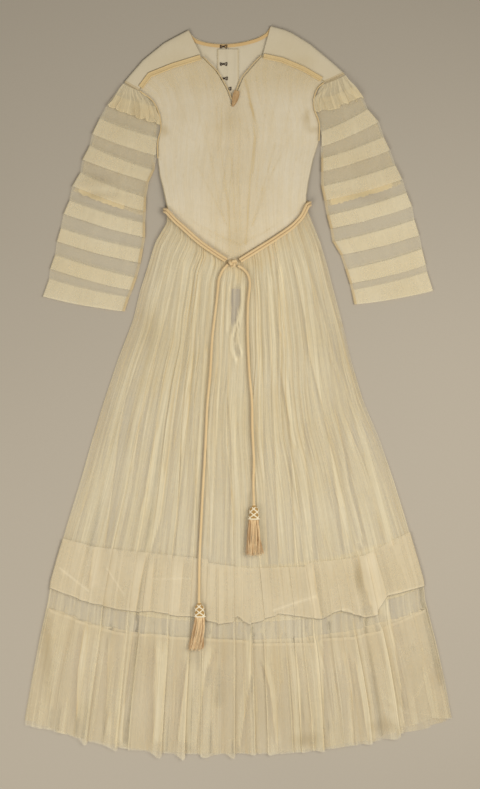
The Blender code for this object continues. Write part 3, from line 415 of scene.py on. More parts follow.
def sheer(name, light, deep, alpha, dense, lines, laps):
    """Sheer cotton: see-through, denser where it is gathered or laps over itself, yellowed, and browned
    by painted shade in the valleys between its folds.

    alpha is the plain cloth's cover; dense, lines and laps are what packing, fine lines and laps add.
    """
    n = Nodes(name)
    across, down = n.value("across"), n.value("down")

    def drawn(wide, tall, detail):
        """Noise drawn out along the folds of the piece."""
        node = n.add("ShaderNodeCombineXYZ")
        n.join(n.math("MULTIPLY", across, wide), node.inputs[0])
        n.join(n.math("MULTIPLY", down, tall), node.inputs[1])
        return n.noise(1.0, detail, 0.5, node.outputs[0])

    def thin(value, at, wide):
        """A thin line where the value passes a level."""
        off = n.math("ABSOLUTE", n.math("SUBTRACT", value, at))
        return n.spread(off, 0.0, wide, 1.0, 0.0)

    broad, narrow, fine = drawn(0.8, 1.0, 1.0), drawn(2.2, 1.7, 1.0), drawn(7.0, 2.6, 2.0)
    patches = n.cloud(7.0, 0.35, 0.7)
    mottle = n.cloud(90.0, 0.3, 0.7)
    lapped = n.math("MAXIMUM", n.spread(broad, 0.53, 0.55),
                    n.math("MULTIPLY", n.spread(narrow, 0.55, 0.6), n.value("fine")))
    edges = n.math("MAXIMUM", thin(broad, 0.53, 0.012),
                   n.math("MULTIPLY", thin(narrow, 0.52, 0.035), n.value("fine")))
    streak = n.spread(fine, 0.35, 0.65)
    colour = n.mix(n.math("MULTIPLY", patches, 0.6), light, deep)
    colour = n.mix(n.math("MULTIPLY", mottle, 0.12), colour, deep)
    colour = n.mix(n.math("MULTIPLY", streak, lines * 0.35), colour, deep)
    # Lap edges and marks are browned, and so are the fold valleys, where this brown is painted shade.
    browning = n.math("MULTIPLY_ADD", edges, lines, n.math("MULTIPLY", n.value("tint"), 0.6), clamp=True)
    colour = n.mix(browning, colour, srgb(202, 170, 108))
    colour = n.mix(n.math("MULTIPLY", n.value("stain"), 0.8, clamp=True), colour, (0.46, 0.33, 0.13))
    see = n.math("MULTIPLY_ADD", n.value("dense"), dense, alpha - 0.07 - 0.4 * laps)
    see = n.math("MULTIPLY_ADD", lapped, laps, see)
    see = n.math("MULTIPLY_ADD", edges, 0.5 * lines, see)
    see = n.math("MULTIPLY_ADD", streak, 0.3 * lines, see)
    see = n.math("MULTIPLY_ADD", mottle, 0.05, see, clamp=True)
    return n.finish(colour, woven(n, 300.0, 0.35), see, 0.92, 0.25, 0.15)


def cotton(name, light, deep, stain=(0.55, 0.42, 0.2)):
    """Plain opaque cotton."""
    n = Nodes(name)
    patches = n.cloud(9.0, 0.35, 0.7)
    mottle = n.cloud(120.0, 0.3, 0.7)
    colour = n.mix(n.math("MULTIPLY", patches, 0.5), light, deep)
    colour = n.mix(n.math("MULTIPLY", mottle, 0.12), colour, deep)
    colour = n.mix(n.math("MULTIPLY", n.value("stain"), 0.7, clamp=True), colour, stain)
    return n.finish(colour, woven(n, 260.0, 0.4), None, 0.9, 0.2, 0.2)


def thread(name, light, deep, scale=500.0, sheen=0.3):
    """Twisted or well-used threads, with a little colour in each, and painted shade in a piece's
    valleys.
    """
    n = Nodes(name)
    grain = n.cloud(scale, 0.3, 0.7, 3.0, 0.65)
    wide = n.cloud(14.0, 0.35, 0.7, 2.0, 0.5)
    colour = n.mix(n.math("MULTIPLY", grain, 0.55), light, deep)
    colour = n.mix(n.math("MULTIPLY", wide, 0.35), colour, deep)
    # Darker where the tint attribute is: painted shade in the piece's valleys, and its marks.
    colour = n.mix(n.math("MULTIPLY", n.value("tint"), 0.5, clamp=True), colour, deep)
    return n.finish(colour, n.bump(grain, 0.5, 0.0004), None, 0.8, sheen, 0.3)


SHEER = sheer("sheer_gauze", srgb(250, 238, 204), srgb(240, 224, 180), 0.4, 0.32, 0.34, 0.12)
SHEER_OVER = sheer("sheer_overlay", srgb(236, 216, 168), srgb(226, 202, 146), 0.2, 0.6, 0.25, 0.06)
SHEER_BAND = sheer("sheer_band", srgb(236, 222, 190), srgb(228, 212, 175), 0.4, 0.34, 0.14, 0.07)
SHEER_RUFFLE = sheer("sheer_ruffle", srgb(250, 234, 194), srgb(238, 218, 170), 0.44, 0.4, 0.2, 0.2)
SHEER_HEM = sheer("sheer_hem", srgb(226, 210, 177), srgb(218, 200, 163), 0.32, 0.34, 0.1, 0.04)
SHEER_SLEEVE = sheer("sheer_sleeve", srgb(248, 236, 204), srgb(240, 224, 184), 0.3, 0.24, 0.06, 0.03)
SHEER_SHORT = sheer("sheer_short_sleeve", srgb(244, 226, 180), srgb(232, 210, 158), 0.12, 0.6, 0.1, 0.0)
LINING = cotton("white_lining", srgb(222, 213, 193), srgb(213, 201, 174))
BACKING = cotton("back_panels", srgb(215, 202, 174), srgb(203, 187, 153))
PIPED = thread("piped_cotton", srgb(220, 194, 142), srgb(200, 170, 116), 300.0)
TAPE = thread("tan_tape", srgb(220, 188, 132), srgb(200, 160, 102), 400.0)
TAB = thread("folded_tape", srgb(204, 170, 120), srgb(148, 110, 68), 160.0)
CORD = thread("tan_cord", srgb(224, 198, 150), srgb(202, 168, 116), 600.0)
WHITE_THREAD = thread("white_thread", srgb(232, 222, 196), srgb(216, 200, 162), 700.0)
GOLD_THREAD = thread("gold_thread", srgb(184, 146, 82), srgb(142, 104, 54), 700.0, 0.2)
FRINGE = thread("peach_fringe", srgb(238, 210, 164), srgb(214, 180, 126), 500.0)
FRINGE_DEEP = thread("deep_fringe", srgb(208, 168, 116), srgb(176, 130, 78), 500.0)


def iron():
    """Old hook wire, dark with a little rust."""
    n = Nodes("old_iron")
    rust = n.cloud(700.0, 0.4, 0.75)
    colour = n.mix(rust, srgb(52, 46, 42), srgb(96, 62, 40))
    n.shader.inputs["Metallic"].default_value = 0.5
    return n.finish(colour, n.bump(rust, 0.4, 0.0002), None, 0.55, 0.0, 0.5)


IRON = iron()


# Meshes from grids of points

def make_mesh(name, points, quads, mats, values=None, which=None):
    """A smooth mesh of four-sided faces; values are its attributes, which its material numbers."""
    mesh = bpy.data.meshes.new(name)
    points = np.asarray(points, float).reshape(-1, 3) * MM
    quads = np.asarray(quads, int)
    mesh.vertices.add(len(points))
    mesh.vertices.foreach_set("co", points.reshape(-1))
    size = quads.shape[1]
    mesh.loops.add(quads.size)
    mesh.loops.foreach_set("vertex_index", quads.reshape(-1).astype(np.int32))
    mesh.polygons.add(len(quads))
    mesh.polygons.foreach_set("loop_start", np.arange(0, quads.size, size, dtype=np.int32))
    for mat in mats:
        mesh.materials.append(mat)
    if which is not None:
        mesh.polygons.foreach_set("material_index", np.asarray(which, dtype=np.int32))
    for key, data in (values or {}).items():
        layer = mesh.attributes.new(key, "FLOAT", "POINT")
        layer.data.foreach_set("value", np.asarray(data, dtype=np.float32).reshape(-1))
    mesh.update(calc_edges=True)
    mesh.validate()
    mesh.polygons.foreach_set("use_smooth", np.ones(len(mesh.polygons), dtype=bool))
    obj = bpy.data.objects.new(name, mesh)
    bpy.context.scene.collection.objects.link(obj)
    return obj


def grid_quads(rows, cols, around=False, keep=None):
    """The faces between the rows of a grid, closed around its columns or not."""
    index = np.arange(rows * cols).reshape(rows, cols)
    if around:
        index = np.concatenate([index, index[:, :1]], axis=1)
    quads = np.stack([index[:-1, :-1], index[1:, :-1], index[1:, 1:], index[:-1, 1:]], -1)
    if keep is not None:
        return quads[keep]
    return quads.reshape(-1, 4)


def packing(grid):
    """How much closer the cloth's threads lie, seen from above, than in flat cloth."""
    step = np.diff(grid, axis=1)
    length = np.sqrt((step ** 2).sum(-1))
    width = np.hypot(step[..., 0], step[..., 1])
    ratio = np.clip(length / np.maximum(width, 1e-3) - 1, 0, 1.5)
    ratio = np.concatenate([ratio[:, :1], ratio], axis=1)
    blurred = (ratio + np.roll(ratio, 1, 1) + np.roll(ratio, -1, 1)) / 3
    return np.clip(blurred, 0, 1)


# Stains and yellowed places: middle, half width, half height, strength
STAINS = [
    (spot(306.6, 118), 9, 20, 0.75), (spot(313, 130), 16, 7, 0.55), (spot(165, 131), 12, 14, 0.6),
    (spot(47, 655), 14, 90, 0.45), (spot(306, 740), 34, 16, 0.45), (spot(385, 725), 32, 18, 0.4),
    (spot(358, 578), 10, 34, 0.4), (spot(104, 612), 12, 24, 0.3), (spot(232, 118), 22, 40, 0.2),
    (spot(236, 240), 26, 26, 0.3), (spot(180, 60), 46, 14, 0.25), (spot(300, 62), 46, 14, 0.25),
    (spot(100, 180), 40, 16, 0.3), (spot(365, 196), 50, 14, 0.4), (spot(96, 196), 44, 10, 0.35),
    (spot(220, 480), 30, 60, 0.2), (spot(150, 330), 20, 60, 0.25), (spot(340, 350), 22, 70, 0.25),
]


def yellowing(grid):
    """How stained each point is."""
    x, y = grid[..., 0], grid[..., 1]
    total = 0.12 * np.clip(noise(x, y, 60, 90, 5), 0, 1)
    for (cx, cy), wide, tall, amount in STAINS:
        off = np.hypot((x - cx) / wide, (y - cy) / tall)
        ragged = off * (1 + 0.25 * noise(x, y, 9, 9, 3))
        total = total + amount * (1 - smooth(ragged / 1.3))
    return np.clip(total, 0, 1)


def valleys(grid, reach):
    """How deep the cloth lies between its neighbouring folds, which is browned there as painted shade.
    """
    z = grid[..., 2]
    top = z
    for k in range(1, reach + 1):
        top = np.maximum(top, np.maximum(np.roll(z, k, 1), np.roll(z, -k, 1)))
    # The painted shade is patchy along the folds.
    browning = 0.75 + 0.5 * noise(grid[..., 0], grid[..., 1], 40, 120, 15)
    return np.clip((top - z) / 2.4 * browning, 0, 1)


def cloth_piece(name, grid, mat, around=False, keep=None, marks=None, reach=6, valley_shade=1.0,
                dense=0.0, plan=(30.0, 1.0), fine=0.5, stain=0.0, packed=1.0):
    """A cloth surface with the values that its material reads.

    marks and dense make it denser; marks, and painted shade in the valleys between the folds, make it
    browner. plan gives its fold coordinates, or how many units of them it has each way. packed scales
    how much denser gathered cloth is.
    """
    grid = np.asarray(grid, float)
    rows, cols = grid.shape[:2]
    if np.ndim(plan[0]) == 0:
        across = np.linspace(0, plan[0], cols)[None] + 0 * grid[..., 0]
        down = np.linspace(0, plan[1], rows)[:, None] + 0 * grid[..., 0]
    else:
        across, down = plan
    # Each piece reads its own stretch of the fold noise.
    offset = 13.7 * sum(map(ord, name))
    marks = 0 if marks is None else marks
    # tint carries the marks and the painted shade of the fold valleys.
    values = {
        "dense": np.clip(packed * packing(grid) + marks + dense, -1, 1),
        "stain": np.clip(yellowing(grid) + stain, 0, 1),
        "tint": np.clip(valley_shade * valleys(grid, reach) + marks, 0, 1),
        "across": across + offset % 97, "down": down, "fine": fine + 0 * grid[..., 0],
    }
    quads = grid_quads(rows, cols, around, keep)
    return make_mesh(name, grid, quads, [mat], values)


def placed(obj, nodes):
    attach(obj, "root")
    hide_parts(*nodes)


def rope(name, centre, radius, mat, pitch=12.0, lobes=3, sides=12, deep=0.16):
    """A cord of twisted strands along the points of its centreline."""
    centre = np.asarray(centre, float)
    way = np.gradient(centre, axis=0)
    way /= np.linalg.norm(way, axis=1)[:, None]
    side = np.cross(way[0], (0, 0, 1.0))
    if np.linalg.norm(side) < 1e-3:
        side = np.array([1.0, 0, 0])
    frames = []
    for w in way:
        side = side - w * side.dot(w)
        side /= np.linalg.norm(side)
        frames.append((side.copy(), np.cross(w, side)))
    steps = np.linalg.norm(np.diff(centre, axis=0), axis=1)
    done = np.concatenate([[0.0], np.cumsum(steps)])
    angle = 2 * PI * np.arange(sides) / sides
    rings = []
    for k, (a, b) in enumerate(frames):
        turn = 2 * PI * done[k] / pitch
        lobe = np.abs(np.sin(lobes / 2 * (angle - turn))) ** 0.8
        r = radius * (1 - deep + deep * lobe)
        across = np.cos(angle)[:, None] * a + np.sin(angle)[:, None] * b
        rings.append(centre[k] + r[:, None] * across)
    rings = np.array(rings)
    quads = grid_quads(len(rings), sides, True)
    caps = []
    for ring in (0, len(rings) - 1):
        index = ring * sides + np.arange(sides)
        for k in range(1, sides // 2):
            quad = [index[k - 1], index[k], index[sides - k - 1], index[sides - k]]
            caps.append(quad if ring == 0 else quad[::-1])
    return make_mesh(name, rings, np.concatenate([quads, caps]), [mat])


# The skirt. A level t runs 0 at the waist, 1 and 2 at the tuck's top and edge, 3 and 4 at the hem's.

ROW_T = [0, 0.02, 0.06, 0.15, 0.3, 0.5, 0.75, 1, 2, 3, 4]
LIFT = [4.0, 4.1, 4.3, 4.5, 4.5, 4.3, 4.0, 4.0, 4.3, 6.0, 4.7]
# How far down the cloth each level is, so that wrinkles keep their size
LENGTH_T = [0, 1, 2, 3, 4]
LENGTHS = [0, 1, 1.15, 1.21, 1.57]
# How much higher the back's lower edge lies than the front's
BACK_SHORTER = 9
LINE_T = {1: "tuck_top", 2: "tuck_edge", 3: "hem_top", 4: "hem_edge"}


def level(name, s):
    """The y of a level line at the shares s across."""
    left, middle, right = SKIRT_LINES[name]
    return lerp(left, right, s) + (middle - (left + right) / 2) * (1 - np.abs(2 * s - 1) ** 2.4)


def level_front(name, s):
    """The line as the photograph shows it, which wanders about the level line."""
    x = lerp(edge_x(level(name, 0.0), 0), edge_x(level(name, 1.0), 1), s)
    return table(FRONT_LINES[name], x)


def edge_x(y, side):
    return table(SKIRT_EDGES, y, 1 + side)


def waist_front(s):
    """The points of the front waist, down to its point and up again."""
    s = np.asarray(s)
    left = along(WAIST_LEFT, s / WAIST_SPLIT)
    right = along(WAIST_RIGHT, (s - WAIST_SPLIT) / (1 - WAIST_SPLIT))
    return np.where((s <= WAIST_SPLIT)[..., None], left, right)


def row_height(t, s, top_y, line):
    """A row's y at the shares s, and the x where it meets the left and the right edge."""
    if t <= 1:
        y = lerp(top_y, line("tuck_top", s), t)
        ends = [lerp(WAIST_BACK[-k][1], level("tuck_top", k), t) for k in (0, 1)]
    else:
        low = min(3, int(t))
        a, b, part = LINE_T[low], LINE_T[low + 1], t - low
        y = lerp(line(a, s), line(b, s), part)
        ends = [lerp(level(a, k), level(b, k), part) for k in (0, 1)]
    return y, edge_x(ends[0], 0), edge_x(ends[1], 1)


def fold_places(t):
    """The shares across the front of every trough and top, from uneven gathers to the hem's folds."""
    hem_left, hem_right = edge_x(-648, 0), edge_x(-634, 1)
    main = [(p[0] - hem_left) / (hem_right - hem_left) for p in PLEATS]
    hem = []
    for a, b in zip(main, main[1:]):
        hem += [a, (a + b) / 2]
    hem.append(main[-1])
    w = smooth(min(t, 1.0))
    k = np.arange(FOLDS)
    widths = 0.35 + 1.5 * dice(k, 2, 6) ** 1.6
    gathered = (np.cumsum(widths) - widths / 2) / widths.sum()
    peaks = lerp(gathered, np.array(hem), w)
    length = np.interp(t, LENGTH_T, LENGTHS)
    peaks = peaks + 0.0045 * noise(k * 3.7, length + 0 * k, 1.0, 0.3, 11)
    places = [0.0]
    for k in range(FOLDS - 1):
        lean = PLEATS[k // 2][3] if k % 2 == 0 else -PLEATS[(k + 1) // 2][3]
        sign = 1 if k % 2 == 0 else -1
        places.append(peaks[k])
        places.append(lerp(peaks[k], peaks[k + 1], 0.5 - 0.22 * lean * w * sign))
    return np.array(places + [peaks[-1], 1.0])


def fold_depths(t):
    """The height of every fold at a level; every other one is a small fold between the main ones."""
    depths = []
    flatter = np.interp(t, [0.5, 0.95, 2, 3, 4], [1, 0.5, 0.45, 0.6, 0.55])
    for k in range(FOLDS):
        pleat, rank = PLEATS[k // 2], (1.0 if k % 2 == 0 else 0.1 + 0.35 * dice(k, 3, 3))
        gather = 0.35 + 2.3 * dice(k, 8, 1)
        values = [lerp(gather, pleat[1] * rank, smooth(row * 1.4)) for row in ROW_T[:7]]
        values += [lerp(pleat[1], pleat[2], share) * rank for share in (0.2, 0.4, 0.5, 1.0)]
        depth = np.interp(t, ROW_T, values) * flatter
        if k in (0, FOLDS - 1):
            depth *= 0.35
        depths.append(depth)
    return np.array(depths)


def fold_shifts(t):
    """How far the top of each fold lies over to one side, in a pleat that covers cloth."""
    reach = np.interp(t, [0, 0.15, 0.4, 0.8, 1, 2, 3, 4], [1.5, 2.0, 4, 7, 8, 8, 10, 8.5])
    shifts = []
    for k in range(FOLDS):
        if k % 2 == 0:
            shift = PLEATS[k // 2][3] * reach
        else:
            shift = 0.35 * reach * (1 if dice(k, 1, 2) > 0.45 else -1)
        if k in (0, FOLDS - 1):
            shift *= 0.2
        near_waist = 2.6 * (dice(k, 5, 9) - 0.5) * 2
        shifts.append(lerp(near_waist, shift, smooth(t / 0.5)))
    return np.array(shifts)


def skirt_line(t):
    """The front cloth at one level: x, y, z across, with its folds, and the shares across."""
    places = fold_places(t)
    tau = np.arange(STEPS_IN_FOLD) / STEPS_IN_FOLD
    s, bump, fold = [], [], []
    for k in range(FOLDS):
        s.append(np.interp(tau, [0, 0.5, 1], places[2 * k:2 * k + 3]))
        crisp = smooth((0.5 - np.abs(tau - 0.5)) / 0.2)
        low = (k % 2 == 0) * smooth((t - 2.2) / 1.2)
        bump.append(lerp(np.sin(PI * tau) ** 2, crisp, low))
        fold.append(np.full(STEPS_IN_FOLD, k))
    s = np.concatenate(s + [[1.0]])
    bump = np.concatenate(bump + [[0.0]])
    fold = np.concatenate(fold + [[FOLDS - 1]])
    top = waist_front(s)
    y, left, right = row_height(t, s, top[:, 1], level_front)
    share = s
    if t <= 1:
        start = (top[:, 0] - WAIST_LEFT[0][0]) / (WAIST_RIGHT[-1][0] - WAIST_LEFT[0][0])
        share = lerp(start, s, smooth(t * 1.6))
    x = lerp(left, right, share)

    length = np.interp(t, LENGTH_T, LENGTHS) + 0 * fold
    uneven = 1 + 0.25 * noise(fold * 5.3, length, 1.0, 0.25, 4)
    depth = fold_depths(t)[fold] * np.clip(uneven, 0.5, 1.12)
    shift = fold_shifts(t)
    at_trough = np.concatenate([[0], (shift[:-1] + shift[1:]) / 2, [0]])
    within = np.concatenate([np.tile(tau, FOLDS), [1.0]])
    hold = lerp(at_trough[fold], at_trough[fold + 1], within)
    x = x + shift[fold] * bump - hold
    x = np.clip(x, left + 0.4, right - 0.4)
    z = np.interp(t, ROW_T, LIFT) + np.interp(t, [0.75, 1, 2, 3], [0, 1.5, 1.5, 0])
    z = z + (rise(x, y) if t < 1 else 0) + depth * bump - 0.15
    fine = np.interp(t, [0, 0.25, 1, 4], [0.6, 0.45, 0.25, 0.2])
    fine = fine * noise(s * 150, length, 1.0, 0.16, 21)
    z = z + fine + 0.25 * noise(x, y, 14, 30, 7)
    if t > 3:
        drop = np.array([PLEATS[k // 2][4] if k % 2 == 0 else 0 for k in range(FOLDS)])
        tongue = 0.3 * bump + 0.7 * np.sin(PI * within) ** 2
        y = y - 0.8 * drop[fold] * tongue * smooth((t - 3.3) / 0.7)
        y = y + 1.2 * noise(x, y, 22, 500, 8) * smooth(t - 3)
    return np.stack([x, y, z], -1), s


def skirt_back_line(t, count):
    """The back cloth at one level, nearly flat on the surface, from right to left."""
    s = np.linspace(0, 1, count)
    y, left, right = row_height(t, s, along(WAIST_BACK, s)[:, 1], level)
    if t > 1:
        y = y + BACK_SHORTER * smooth((t - 3.4) / 0.6) * (1 - smooth((s - 0.86) / 0.06))
    x = lerp(left + 2, right - 2, s)
    floor = np.interp(t, [0.75, 1, 2, 3], [0, 1.5, 1.5, 0]) + (base(x, y) if t < 1 else 0)
    folds = np.sin(PI * (s * 34 + 0.5 + 0.35 * noise(s * 34, t + 0 * s, 1.3, 0.5, 2))) ** 2
    height = np.interp(t, [0, 0.3, 1, 4], [1.1, 1.0, 0.8, 0.7])
    height = height * (0.6 + 0.4 * noise(s * 17, t + 0 * s, 1, 0.6, 6))
    lying = np.interp(t, [0, 0.3, 1, 4], [0, 1.0, 5.0, 9.0])
    x = x + folds * lying * np.sign(np.sin(s * 41))
    z = 0.12 + floor + np.clip(folds * height, 0, 1.15)
    return np.stack([x, y, z], -1)[::-1]


def tube_plan(s, back_count, t):
    """The fold coordinates of a closed row."""
    across = np.concatenate([s, [1, 1, 1], 1 + np.linspace(0, 1, back_count), [2, 2, 2]])
    return across * FOLD_UNITS, np.full(len(across), 1.8 * np.interp(t, LENGTH_T, LENGTHS))


def closed_row(front, back, out, shape=(0.8, 0.22, 0.78)):
    """A closed row: the front, a rounded right side, the back, a rounded left side."""
    def turn(a, b, away):
        share, upper, lower = shape
        return np.array([
            (a[0] + away * share, a[1], lerp(a[2], b[2], upper)),
            (a[0] + away, (a[1] + b[1]) / 2, (a[2] + b[2]) / 2),
            (a[0] + away * share, b[1], lerp(a[2], b[2], lower)),
        ])

    left = turn(front[0], back[-1], -out)[::-1]
    return np.concatenate([front, turn(front[-1], back[0], out), back, left])


# What lies on the cloth: points along it, and how far from them the cloth is held down
PRESSED = []
HELD_LEAST = 2.6


def pressed(grid):
    """Flattens the cloth where a cord, a tassel or the belt lies on it."""
    x, y = grid[..., 0], grid[..., 1]
    limit = np.full(x.shape, 99.0)
    for points, reach in PRESSED:
        near = (x > points[:, 0].min() - 16) & (x < points[:, 0].max() + 16)
        near &= (y > points[:, 1].min() - 16) & (y < points[:, 1].max() + 16)
        px, py = x[near], y[near]
        off = np.hypot(px[:, None] - points[None, :, 0], py[:, None] - points[None, :, 1])
        which = off.argmin(1)
        gap = off[np.arange(len(px)), which]
        height = points[which, 2] + smooth((gap - reach) / 9.0) * 7.0
        limit[near] = np.minimum(limit[near], height)
    z = grid[..., 2]
    grid[..., 2] = np.where(z > HELD_LEAST, np.minimum(z, np.maximum(limit, HELD_LEAST)), z)
    return grid


def node_tree(name):
    """A CAD node's surface, to find heights on."""
    mesh = NODES[name].data
    return BVHTree.FromPolygons([tuple(v.co) for v in mesh.vertices],
                                [tuple(p.vertices) for p in mesh.polygons])


def cord_centre(route, node, step):
    """The centreline of a hanging end: its route, at the height that its solid has."""
    flat = spaced([(x, y, 0.0) for x, y in route], step)
    tree = node_tree(node)
    heights = []
    for x, y, _ in flat:
        tops = []
        for dx in (-0.4, 0.0, 0.4):
            hit = tree.ray_cast(Vector(((x + dx) * MM, y * MM, 0.1)), Vector((0, 0, -1)))
            if hit[0] is not None:
                tops.append(hit[0].z / MM)
        heights.append(max(tops) - CORD_R if tops else None)
    known = [k for k, h in enumerate(heights) if h is not None]
    z = np.interp(np.arange(len(flat)), known, [heights[k] for k in known])
    flat[:, 2] = z
    return flat


def belt_routes():
    """The centrelines of the belt's two strands: knot, left front, back, right front, knot."""
    front_z = OVER_TOP + 1.7 + CORD_R
    route = []

    def add(x, y, z, nx, ny):
        route.append((Vector((x, y, z)), Vector((nx, ny, 0)).normalized()))

    for share in (0.0, 0.2, 0.45, 0.7, 0.86):
        x, y = along(WAIST_LEFT[::-1], lerp(KNOT_CLEAR / LEFT_RUN, 1.0, share))
        add(x, y, front_z + float(rise(x, y)), 0.64, 0.77)
    add(-139.5, 352.5, front_z + float(rise(-136, 352)) - 0.6, 0.5, 0.87)
    add(-143.6, 354.5, front_z + 1.2, 0.2, 0.98)
    add(-145.0, 355.0, 6.2, 0, 1)
    add(-141.2, 355.5, CORD_R + 0.3, 0, 1)
    for x in (-131, -100, -60, -20, 25, 70, 105, 126):
        add(x, float(table(WAIST_BACK, x)) + 1.0, CORD_R + 0.06, 0, 1)
    add(136.2, 368.0, CORD_R + 0.3, 0, 1)
    add(140.0, 367.5, 6.2, 0, 1)
    add(138.8, 367.0, front_z + 1.2, -0.4, 0.9)
    add(134.8, 364.5, front_z + float(rise(131, 366)) - 0.6, -0.8, 0.6)
    for share in (0.86, 0.7, 0.45, 0.2, 0.0):
        x, y = along(WAIST_RIGHT, lerp(KNOT_CLEAR / RIGHT_RUN, 1.0, share))
        add(x, y, front_z + float(rise(x, y)), -0.6, 0.8)
    lines = []
    for sign in (1, -1):
        lines.append(through([tuple(p + n * STRAND_APART * sign) for p, n in route], 1.5))
    return lines


CORD_LEFT = cord_centre(CORD_LEFT_ROUTE, "cord_left", 1.1)
CORD_RIGHT = cord_centre(CORD_RIGHT_ROUTE, "cord_right", 1.1)
BELTS = belt_routes()


def tassel_press(node):
    """Points under a tassel's solid, which hold the cloth down."""
    low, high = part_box(node)
    low, high = np.array(low) / MM, np.array(high) / MM
    x = (low[0] + high[0]) / 2
    ys = np.arange(low[1], high[1], 4.0)
    points = [(x + dx, y, low[2] - 0.1) for y in ys for dx in (-9, -3, 3, 9)]
    return np.array(points)


for line in (CORD_LEFT[::3], CORD_RIGHT[::3]):
    PRESSED.append((line - np.array([0, 0, CORD_R + 0.15]), 3.5))
for line in BELTS:
    front = line[line[:, 2] > 10][::3]
    PRESSED.append((front - np.array([0, 0, CORD_R + 0.15]), 3.5))
for node in ("tassel_left", "tassel_right"):
    PRESSED.append((tassel_press(node), 5.0))

# Creases and small folds of the skirt: points, width, height
CREASES = [
    (spots((147.7, 553), (141, 580), (136, 612), (133.5, 650), (133, 735)), 5.0, -1.3),
    (spots((60, 568), (88, 590)), 4.0, 0.8), (spots((107, 568), (124, 594)), 4.0, 0.8),
    (spots((153, 579), (190, 578)), 4.0, 0.8),
    (spots((385, 697), (406, 713), (432, 663)), 4.5, 0.9),
    (spots((406, 713), (447, 716)), 4.0, 0.8), (spots((379, 619), (404, 734)), 9.0, 1.2),
    (spots((313, 561), (323.7, 750)), 5.0, -1.3), (spots((156, 636), (156, 750)), 7.0, 1.2),
    (spots((231, 288), (229, 306), (235, 326)), 4.0, -1.2),
    (spots((243, 288), (243, 310), (238, 328), (242, 345), (236, 359)), 4.0, 1.2),
    (spots((200, 300), (186, 420), (170, 550)), 6.0, -1.0),
    (spots((285, 290), (304, 420), (318, 556)), 7.0, -1.0),
    (spots((262, 280), (268, 400), (284, 560)), 6.0, 0.9),
    (spots((179, 262), (146, 380), (110, 530)), 6.0, 0.8),
    (spots((303, 250), (345, 400), (385, 540)), 6.0, -0.9),
]


def creased(grid, strength=1.0):
    """Raises or sinks the front along the main creases."""
    x, y = grid[..., 0], grid[..., 1]
    top = grid[..., 2] > 3.2
    for points, wide, high in CREASES:
        off = from_line(x, y, points)
        grid[..., 2] += np.where(top, strength * high * np.exp(-(off / wide) ** 2), 0)
    return grid


def under_waist(grid, ts):
    """The gathered seam allowance, which shows through as a ragged denser band under the belt;
    its darker colour is partly the allowance and partly its painted shadow.
    """
    x, y = grid[..., 0], grid[..., 1]
    t = np.asarray(ts)[:, None]
    ragged = 0.05 + 0.022 * noise(x, 0 * y, 9, 9, 17) + 0.02 * noise(x, 0 * y, 30, 9, 18)
    side = np.clip(1 - np.abs(x) / 150, 0, 1) ** 0.5
    front = grid[..., 2] > FRONT_FROM
    return 0.5 * front * side * (1 - smooth((t - ragged) / 0.02))


# The slit of the back as it shows through: points, half width, how much denser
OPENING = [
    (spots((236, 290), (235.8, 304)), 9.8, -1.2), (spots((234.6, 308), (233.5, 320)), 6.0, -1.0),
    (spots((237, 349), (238, 353)), 4.8, -1.1),
    (spots((240, 322), (236, 331), (234.5, 341)), 1.8, -0.8),
    (spots((243, 285), (243.3, 301), (240.8, 314), (235, 328), (231, 339), (232, 351),
           (236, 359)), 3.6, 0.7),
    (spots((241.5, 320), (237.5, 331), (239, 343), (242, 353)), 2.2, 0.5),
    (spots((229, 286), (228, 300), (227, 331)), 2.8, 0.5), (spots((236, 359), (242, 353)), 2.0, 0.4),
]

